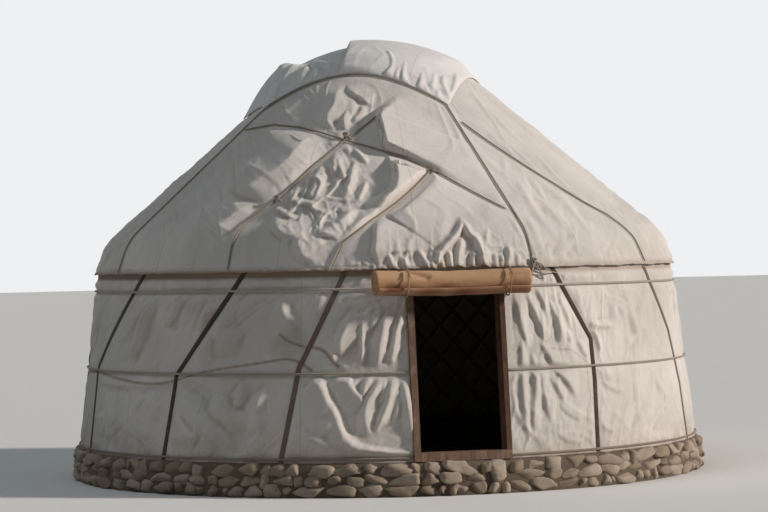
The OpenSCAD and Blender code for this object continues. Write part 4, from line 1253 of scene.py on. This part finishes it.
def cover_over_door(foot=1.502, waves=0.004):
    v, u = np.meshgrid(np.linspace(0, 1, 17), np.linspace(0, 1, 81))
    z = foot + v * (WALL_TOP - foot)
    a = np.degrees(np.arcsin((FRAME_SIDE - 0.0003) / wall_r(z)))
    out = np.abs(waves * np.sin(u * 70 + 2 * np.sin(u * 19)) * step(v, 0.8, 0.1))
    cloth("wall_cover_over_door_cloth", polar(-a + 2 * a * u, wall_r(z) + out, z), CANVAS,
          "wall_cover_over_door", "v0")


# Cover over the crown, a square that is pulled down at its left corner. Its creases are lines on the plan.
LATHS, LATH_GAP = 0.036, 0.0018      # two layers of laths, and the gap over them
DOME_OVER = DOME_R + LATHS + LATH_GAP + COVER_T
CROWN_LAY, CROWN_STEP = CROWN_R + 0.004, 0.07
CROWN_SHELF = ([(-.16, .45), (-.22, .2), (-.30, -.07), (-.40, -.42), (-.45, -.57), (-.51, -.69),
                (-.55, -.84)], 0.062, 0.022, 0.55, 0.10)
CREASES = [
    ([(-.17, -.22), (-.27, -.5), (-.36, -.62)], .026, .08, .03),
    ([(.2, -.5), (.25, -.72)], .014, .05, .03), ([(-.38, -.62), (-.44, -.76)], .03, .04, .025, .5, 0),
    ([(-.3, -.58), (-.4, -.79)], .034, .05, .028, .5, 0),
    ([(-.21, -.54), (-.27, -.67), (-.34, -.85)], .036, .06, .03, .5, 0),
    ([(-.09, -.5), (-.07, -.73), (-.08, -.84), (-.18, -.93)], .044, .07, .034, .4, 0),
    ([(-.01, -.78), (-.05, -.9), (-.1, -.99)], .03, .04, .028, .5, 0),
    ([(.11, -.72), (.03, -.84), (-.02, -1)], .036, .05, .03, .5, 0),
    ([(.21, -.79), (.16, -.95), (.11, -1.06)], .03, .05, .028, .5, 0),
    ([(.31, -.72), (.31, -.84), (.24, -1.02)], .028, .05, .03, .5, 0),
    ([(.43, -.74), (.36, -.93), (.37, -1.07)], .036, .07, .036, .5, 0),
    ([(.6, -.55), (.54, -.73), (.43, -1.08)], .036, .12, .05, .5, 0),
    ([(-.74, -.28), (-.71, -.35), (-.61, -.51), (-.55, -.61), (-.5, -.63)], .034, .04, .06),
    ([(-.8, -.22), (-.9, -.3), (-1, -.37), (-1.1, -.41)], .034, .06, .07),
    ([(-.74, -.36), (-.88, -.53)], .028, .05, .05), ([(-.66, -.45), (-.77, -.6)], .024, .04, .04),
    ([(-.58, -.56), (-.66, -.7)], .022, .04, .04),
    ([(-.86, -.05), (-1.05, -.15), (-1.2, -.2)], .03, .07, .08),
    ([(-.84, .15), (-1.1, .2)], .026, .08, .08)]
PLAN_HALF, PLAN_CELLS = 1.6, 399
COS, SIN = math.cos(math.radians(CROWN_TURN)), math.sin(math.radians(CROWN_TURN))


def plan_to_square(x, y):
    """Shares of half the square's side, to its right and to its front."""
    return (x * COS + y * SIN) / CROWN_HALF, (x * SIN - y * COS) / CROWN_HALF


def square_to_plan(s, t):
    return CROWN_HALF * (s * COS + t * SIN), CROWN_HALF * (s * SIN - t * COS)


def crown_angle(x, y):
    a = np.degrees(np.arctan2(x, -y))
    return np.where(a > RIGHT + 2, a - 360, a)


def crown_pull(a):
    """Radius of the square's edge, and how far it is pulled out there."""
    edge = CROWN_HALF / np.cos(np.radians((a - CROWN_TURN + 765) % 90 - 45))
    c = (LEFT - a) / 50
    return edge, np.where((c > 0) & (c < 1), 0.330 * np.sin(np.pi * c) ** 2, 0)


def crown_height(x, y):
    """Height of the form: the dome, the step down from the ring, and the roof with a swell on its left."""
    a, r = crown_angle(x, y), np.hypot(x, y)
    bed = np.where(a > LEFT - 1, FRONT_O, SIDE_O) + 0.0005 + COVER_T
    dome = DOME_Z + np.sqrt(np.maximum(DOME_OVER ** 2 - np.minimum(r, CROWN_LAY) ** 2, 0))
    r0 = CROWN_LAY + CROWN_STEP
    share = (1 + 5 * np.clip((r - r0) / np.maximum(sum(crown_pull(a)) - r0, 1e-3), 0, 1)) / 6
    d = (a - LEFT + 20) / 54
    swell = 0.190 * np.where(np.abs(d) < 1, np.cos(np.pi / 2 * np.clip(d, -1, 1)) ** 2, 0)
    lay = roof_z(r, bed) + swell * np.maximum(np.sin(np.pi * share ** 0.8), 0) ** 0.8
    at_r0 = roof_z(r0, bed) + swell * np.sin(np.pi * (1 / 6) ** 0.8) ** 0.8
    t = np.clip((r - CROWN_LAY) / CROWN_STEP, 0, 1)
    down_step = (DOME_Z + math.sqrt(DOME_OVER ** 2 - CROWN_LAY ** 2)) * (1 - t) + at_r0 * t
    return np.where(r <= CROWN_LAY, dome, np.where(r < r0, down_step, lay))


def crown_folds(x, y):
    """The traced folds, small puckers round the hem, and a light crumple."""
    p = np.stack([x, y], -1)
    line, *sizes = CROWN_SHELF
    h = shelf(p, resample(line, 0.05), *sizes)
    for line, *sizes in CREASES:
        h = np.maximum(h, crest(p, resample(line, 0.03), *sizes))
    rng = np.random.default_rng(40)
    for k in range(52):
        side, at, deep = k % 4, rng.uniform(-0.93, 0.93), rng.uniform(0.08, 0.24)
        way = 1 - 2 * (side > 1)
        ends = [(at * 0.9 + rng.normal() * 0.03, (1 - deep) * way), (at, 1.02 * way)]
        line = resample([square_to_plan(*(q if side % 2 else q[::-1])) for q in ends], 0.05)
        size = rng.uniform(0.008, 0.018)
        h = np.maximum(h, crest(p, line, size, size * 2.4, size * 1.6, 0.7, 0.0))
    rim_share = np.maximum(*np.abs(plan_to_square(x, y)))
    h = h + 0.006 * creased(grain(rng, p, (0.26, 0.26), 20, 0.2)) * step(rim_share, 0.25, 0.8)
    return h * step(rim_share, 1.0, 0.985)


def crown_form():
    """Table of the form's height over the plan."""
    line = np.linspace(-PLAN_HALF, PLAN_HALF, PLAN_CELLS + 1)
    x, y = np.meshgrid(line, line, indexing="ij")
    g = crown_height(x, y)
    for _ in range(24):
        g[1:-1] = (g[2:] + 2 * g[1:-1] + g[:-2]) / 4
        g[:, 1:-1] = (g[:, 2:] + 2 * g[:, 1:-1] + g[:, :-2]) / 4
    return (g + crown_folds(x, y)).astype(np.float32)


def crown_cover():
    table = crown_form()

    def height(x, y):
        u, v = (np.clip((q + PLAN_HALF) / (2 * PLAN_HALF) * PLAN_CELLS, 0, PLAN_CELLS - 0.01)
                for q in (x, y))
        i, j = u.astype(np.int32), v.astype(np.int32)
        return between(table, i, j, u - i, v - j)

    def base(u, v):
        s, t = 2 * u - 1, 2 * v - 1
        x, y = square_to_plan(s, t)
        edge, pull = crown_pull(crown_angle(x, y))
        k = 1 + ((edge + pull) / edge - 1) * np.maximum(np.abs(s), np.abs(t)) ** 1.5
        return np.stack([x * k, y * k, height(x * k, y * k)], -1)

    def press(x):
        low = height(x[..., 0], x[..., 1])
        rim_share = np.maximum(*np.abs(plan_to_square(x[..., 0], x[..., 1])))
        x = x.copy()
        x[..., 2] = np.clip(x[..., 2] - SUCK, low, low + 0.003 + 0.25 * np.maximum(1 - rim_share, 0))
        return x

    def rim_share(u, v):
        return np.maximum(np.abs(2 * u - 1), np.abs(2 * v - 1))

    def excess(u, v):
        e = 0.004 + 0.012 * step(rim_share(u, v), 0.5, 0.95)
        return e, e

    def ripple(u, v, rng):
        r = rim_share(u, v)
        broad, small = np.abs(noise(rng, *u.shape, 14, 14)), np.abs(noise(rng, *u.shape, 30, 30))
        return (broad * 0.5 + small * 0.7 * step(r, 0.5, 0.95)) * (0.001 + 0.004 * step(r, 0.4, 0.95))

    x = drape(base, (169, 169), press, excess, np.random.default_rng(41), ripple, gravity=6e-5)
    if normals(x)[len(x) // 2, len(x) // 2, 2] < 0:
        x = x[::-1]
    cloth("crown_cover_cloth", x, CROWN_CANVAS, "crown_cover",
          "u0 u1 v0 v1", 0.010)


# Rolled door flap
TURNS, PITCH_OF_TURNS, FLAP_T = 3.9, 0.0225, 0.011
DENT = np.array([(-0.50, -0.02), (-0.34, 0.045), (-0.20, 0.125)])


def door_flap():
    rng = np.random.default_rng(51)
    nt, nx = int(132 * GRID_SHARE) + 1, int(96 * GRID_SHARE) + 1
    t, x = np.meshgrid(np.linspace(0, 1, nt), np.linspace(-0.5, 0.5, nx), indexing="ij")
    turn = math.radians(205) + (1 - t) * TURNS * 2 * math.pi
    end = np.abs(x) * 2
    pinch = sum(np.exp(-((x * ROLL_LEN + ROLL_X - tie) / 0.035) ** 2) for tie in TIE_X)
    lump = noise(rng, nt, nx, 30, 9) * 0.0016 + 0.0022 * np.sin(x * 34 + np.cos(turn) * 2.2) * pinch
    # a dent that runs slanting over the roll
    round_roll = np.stack([x * ROLL_LEN, ((turn % (2 * math.pi)) - 1.7) * ROLL_R], -1)
    dent, _, along = near(round_roll, DENT)
    dent = np.exp(-(dent / (0.010 + 0.020 * along)) ** 2)
    dent = dent * step(along, -0.01, 0.25) * step(1 - along, -0.01, 0.10)
    r = ROLL_R - 0.003 - (1 - t) * TURNS * PITCH_OF_TURNS - 0.0022 * pinch + lump
    r = r - 0.030 * dent * step(t, 0.6, 0.85)
    r = np.where(t > 0.05, r + 0.0022 * (step(end, 0.905, 0.925) - step(end, 0.985, 1.0)), r)
    sag = -0.004 * np.cos(x * math.pi * 2)
    px = x * ROLL_LEN * 0.998 + ROLL_X + 0.004 * noise(rng, nt, nx, 10, 2) * step(end, 0.8, 1.0)
    faces_of_cloth = [np.stack([px, ROLL_Y + q * np.cos(turn), ROLL_Z + q * np.sin(turn) + sag], -1)
                      for q in (r, r - FLAP_T)]
    verts = np.concatenate([g.reshape(-1, 3) for g in faces_of_cloth])
    n = nt * nx
    i, j = np.arange(nt - 1) * nx, np.arange(nx - 1)
    last = (nt - 1) * nx
    borders = [(i, i + n, i + nx + n, i + nx),
               (i + nx - 1, i + 2 * nx - 1, i + 2 * nx - 1 + n, i + nx - 1 + n),
               (j, j + 1, j + 1 + n, j + n),
               (last + j, last + j + n, last + j + 1 + n, last + j + 1)]
    sides = [grid_faces(nt, nx), grid_faces(nt, nx, n)[:, ::-1]]
    faces = np.concatenate(sides + [np.stack(q, -1) for q in borders])
    uv = np.stack([t * 1.9, (x + 0.5) * ROLL_LEN], -1).reshape(-1, 2)
    stitch = step(np.abs(end - 0.91), 0.008, 0.003) * 0.7
    # the roll's lower side is darker: red-brown staining together with painted shade
    stain = 0.85 * step(-np.sin(turn), -0.35, 0.55) * (0.7 + 0.3 * noise(rng, nt, nx, 50, 7))
    stain = stain * step(end, 1.02, 0.85) * step(t, 0.5, 0.7)
    # the dent's groove is painted darker: painted shade
    mark = np.maximum(np.maximum(stitch, stain), 0.5 * dent * step(t, 0.6, 0.85)).ravel()
    obj = make("door_flap_cloth", verts + [0, 0, PLINTH], faces, [FLAP], np.concatenate([uv, uv]),
               attrs={"mark": np.concatenate([mark, mark])})
    piece(obj, "door_flap_roll")


# Ropes, ties and straps
def knot(c, size, tails, out):
    """Lines of a small overhand knot and of its loose tails."""
    o = unit(np.array(out, float))
    s = unit(np.cross(o, [0, 0, 1.0]))
    t = np.linspace(0, 2 * math.pi, 40)
    k = np.stack([np.sin(t) + 2 * np.sin(2 * t), np.cos(t) - 2 * np.cos(2 * t), -np.sin(3 * t)], -1) / 3
    yield c + size * (k[:, :1] * s + k[:, 1:2] * np.cross(s, o) + (k[:, 2:] * 0.6 + 0.75) * o)
    q = np.linspace(0, 1, 8)[:, None]
    for tail in tails:
        yield c + o * size * 0.5 + q * np.array(tail, float) + o * np.sin(q * 3.1) * size * 0.5


def flap_ties():
    """Rings round the roll, with their knots on top."""
    ties = Parts()
    t = np.linspace(0, 2 * math.pi, 41)
    r = ROLL_R + 0.0065
    for x in TIE_X:
        ring = np.stack([x + 0.006 * np.sin(t + 1), ROLL_Y + r * np.cos(t), ROLL_Z + r * np.sin(t)], -1)
        ties.add(tube(ring, 0.006, 8, 0.012, lambda p: (p - [x, ROLL_Y, ROLL_Z]) * [0.001, 1, 1]))
        for line in knot(np.array([x, ROLL_Y - 0.085, ROLL_Z + 0.086]), 0.012,
                         [(0.012, -0.030, -0.055), (-0.020, -0.028, -0.045)], (0, -0.7, 0.7)):
            ties.add(tube(line, 0.005, 6, 0.008, lambda p: p * 0 + [0.1, -1, 0.4]))
    ties.join("door_flap_ties_rope", [ROPE_TAN], "door_flap_ties")


def roof_ropes():
    ropes = Parts()
    for route in FRONT_ROPES:
        ropes.add(tube(route, ROPE * 0.37, spacing=0.022))
    for a, z, size in ((-24, 2.71, 0.024), (-36.6, 2.17, 0.022), (0, 2.39, 0.02), (15, 1.60, 0.026)):
        side = polar(a + 90, 1.0, 0.0)
        tails = [side * 0.07 + [0, 0, -0.07], side * -0.03 + [0, 0, -0.10]]
        at = polar(a, Roof(FRONT_ROPE + 0.004).radius(z), z)
        for line in knot(at, size, tails, polar(a, 1.0, 0.0) + [0, 0, 0.9]):
            ropes.add(tube(line, 0.008, 6, 0.01))
    # loose cord ends right of the roll
    hem_r = float(Roof(FRONT_ROPE).radius(1.556)) + 0.006
    t = np.linspace(0, 1, 9)
    for a, foot_a, foot_z, slack in ((14.6, 18.3, 1.492, 0.030), (15.3, 17.4, 1.455, 0.012),
                                     (15.9, 20.6, 1.500, 0.022), (14.9, 14.2, 1.440, 0.0)):
        z = 1.590 + (foot_z - 1.590) * t - slack * np.sin(t * math.pi)
        r = hem_r + (float(wall_r(np.array(foot_z))) + 0.012 - hem_r) * step(t, 0.25, 1.0)
        ropes.add(tube(polar(a + (foot_a - a) * t, r, z), 0.006, 6, 0.01), 1)
    ropes.join("roof_ropes_front_hair", [ROPE_DARK, ROPE_PALE], "roof_ropes_front")
    ropes = Parts()
    for route in BACK_ROPES:
        ropes.add(tube(route, ROPE * 0.37, spacing=0.022))
    ropes.join("roof_ropes_back_hair", [ROPE_DARK], "roof_ropes_back")


def wall_ropes(mats={"wall_rope_middle": ROPE_PALE, "wall_rope_high": ROPE_WHITE}):
    for name, z in LEVELS.items():
        r = float(wall_r(np.array(min(z, 1.40)))) + STRAP_T + 0.0004 + ROPE / 2
        end = math.degrees(math.asin(FRAME_SIDE / (r - ROPE / 2)))
        level = Parts()
        level.add(tube(polar(np.linspace(end, 360 - end, 150), r, z), ROPE / 2, spacing=0.028))
        level.join(name + "_hair", [mats.get(name, ROPE_DARK)], name)


def wall_straps(faded=(("wall_straps_left", 0), ("wall_straps_right", 1))):
    for name, routes in STRAPS.items():
        band = Parts()
        for k, route in enumerate(routes):
            band.add(tube(route, 0, spacing=0.025, up=lambda p: unit(p * [1, 1, 0]) + [0, 0, math.tan(LEAN)],
                          flat=(STRAP_W, STRAP_T)), int((name, k) in faded))
        band.join(name + "_woven", [STRAP, STRAP_BROWN], name)


# Stones of the plinth
COURSES = ((0.0, 0.105, 2.893), (0.085, 0.190, 2.888), (0.170, 0.278, 2.884))  # foot, top, outer radius
STONE_MID_R, STONE_END_R = 2.86, 2.88
BED_R, BED_TOP, STONE_TOP = 2.84, 0.2785, 0.288    # the bed is flat within its radius
EARTH_PROFILE = [(2.41, 0.0), (2.405, 0.14), (2.41, 0.270), (2.50, 0.278), (2.62, 0.2793), (2.80, 0.2793),
                 (2.822, 0.270), (2.838, 0.24), (2.848, 0.12), (2.853, 0.0)]


def stone_base(n=6, power=4.0):
    """A cube blown out to a rounded block."""
    bm = bmesh.new()
    bmesh.ops.create_cube(bm, size=2)
    bmesh.ops.subdivide_edges(bm, edges=bm.edges[:], cuts=n - 1, use_grid_fill=True)
    v = np.array([p.co for p in bm.verts])
    f = np.array([[q.index for q in face.verts] for face in bm.faces])
    bm.free()
    return v / (np.abs(v) ** power).sum(1, keepdims=True) ** (1 / power), f


def stone(rng, base, centre, size, turn):
    v = base.copy()
    for _ in range(9):
        n = unit(rng.normal(size=3))
        d = v @ n
        c = rng.uniform(0.66, 0.98)
        v = v - np.where(d > c, (d - c) * 0.97, 0)[:, None] * n
    for wave, depth in ((3, 0.05), (7, 0.025), (13, 0.014)):
        v = v * (1 + depth * np.sin(v @ rng.normal(size=3) * wave + rng.uniform(0, 6)))[:, None]
    tilt = rng.normal(size=3) * 0.10
    v = v * (np.array(size) / 2)
    v = v + np.cross(tilt, v)
    c, s = math.cos(turn), math.sin(turn)
    return v @ np.array([[c, s, 0], [-s, c, 0], [0, 0, 1]]) + centre


def course(rng, base, a0, z0, z1, r_out):
    """The stones of one course of a quarter, side by side."""
    a = a0 + rng.uniform(0.3, 1.2)
    while a < a0 + 90 - 1.0:
        w = rng.choice((0.09, 0.14, 0.20, 0.27)) * rng.uniform(0.85, 1.15)
        w = min(w, math.radians(a0 + 90 - a) * STONE_END_R)
        h = (z1 - z0) * rng.uniform(0.90, 1.12)
        d = rng.uniform(0.13, 0.20)
        mid = a + math.degrees(w / 2 / STONE_MID_R)
        c = polar(mid, r_out - d / 2 - rng.uniform(0, 0.022), min(z0 + h / 2, 0.276 - h / 2))
        s = stone(rng, base, c, (w * 1.10, d, h * 1.06), math.radians(mid) + rng.normal() * 0.06)
        inside = np.hypot(s[:, 0], s[:, 1]) < BED_R
        s[:, 2] = np.clip(s[:, 2], 0.0, np.where(inside, BED_TOP, STONE_TOP))
        yield s, rng.uniform(0, 1)
        a += math.degrees(w / STONE_MID_R) + rng.uniform(-0.05, 0.12)


def packed_earth(rng, a0, na=61):
    """Earth packed behind and between the stones, as a grid of points."""
    profile = resample(EARTH_PROFILE, 0.03)
    a, k = np.meshgrid(np.linspace(a0 + 0.02, a0 + 89.98, na), np.arange(len(profile)), indexing="ij")
    rough = np.abs(noise(rng, na, len(profile), 40, 12) * 0.006)
    r, z = profile[k, 0], profile[k, 1]
    return polar(a, r - rough, np.maximum(z - rough * np.where((r > 2.6) & (r < 2.81), 0.05, 0.6), 0))


def plinth(side, a0, seed, base, base_faces):
    rng = np.random.default_rng(seed)
    stones = [s for sizes in COURSES for s in course(rng, base, a0, *sizes)]
    earth = packed_earth(rng, a0)
    count = len(stones) * len(base)
    faces = [base_faces + k * len(base) for k in range(len(stones))] + [grid_faces(*earth.shape[:2], count)]
    verts = [s for s, _ in stones] + [earth.reshape(-1, 3)]
    tone = np.concatenate([np.repeat([t for _, t in stones], len(base)), np.full(len(verts[-1]), 0.5)])
    mat_index = np.repeat([0, 1], [len(stones) * len(base_faces), len(faces[-1])])
    obj = make(f"plinth_{side}_stones", np.concatenate(verts), np.concatenate(faces), [STONE, EARTH_AND_GAP_SHADE],
               mat_index=mat_index, attrs={"tone": tone})
    piece(obj, f"plinth_{side}")


# Wooden parts keep their CAD shape
# the right post and the lintel take the darker frame wood, which is painted shade
WOOD = {"door_threshold": FRAME_WOOD, "door_post_left": FRAME_WOOD, "door_post_right": FRAME_WOOD_SHADE,
        "door_lintel": FRAME_WOOD_SHADE, "crown_ring": TIMBER, "crown_laths": TIMBER,
        **{f"roof_poles_{side}": POLE_WOOD for side in ("front", "right", "back", "left")},
        **{f"lattice_section_{k}": LATH_WOOD for k in range(1, 6)}}

front_cover()
roof_cover("right", 10.98, 106, 21, [ROPE_RIGHT, BACK_ROPES[0]], SIDE_FOLDS)
roof_cover("back", 106, 196, 22, BACK_ROPES[:2])
roof_cover("left", 196, 291, 23, BACK_ROPES[1:2], hem_shade=0.95)
wall_cover("front_left", 265, 358, 31, (401, 137), ([0, 0.52, 1], [0, 0.66, 1]),
           LEFT_FOLDS, LEFT_MARKS, "v0 u1")
wall_cover("front_right", 2, 95, 32, (401, 137), ([0, 0.56, 1], [0, 0.28, 1]),
           RIGHT_FOLDS, RIGHT_MARKS, "v0 u0")
wall_cover("back_right", 95.01, 180, 33, (209, 89))
wall_cover("back_left", 180.01, 265, 34, (209, 89))
cover_over_door()
crown_cover()
door_flap()
flap_ties()
roof_ropes()
wall_ropes()
wall_straps()
for k, side in enumerate(("front", "right", "back", "left")):
    plinth(side, -45 + 90 * k, 60 + k, *stone_base())
for name, mat in WOOD.items():
    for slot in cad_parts[name].material_slots:
        slot.material = mat
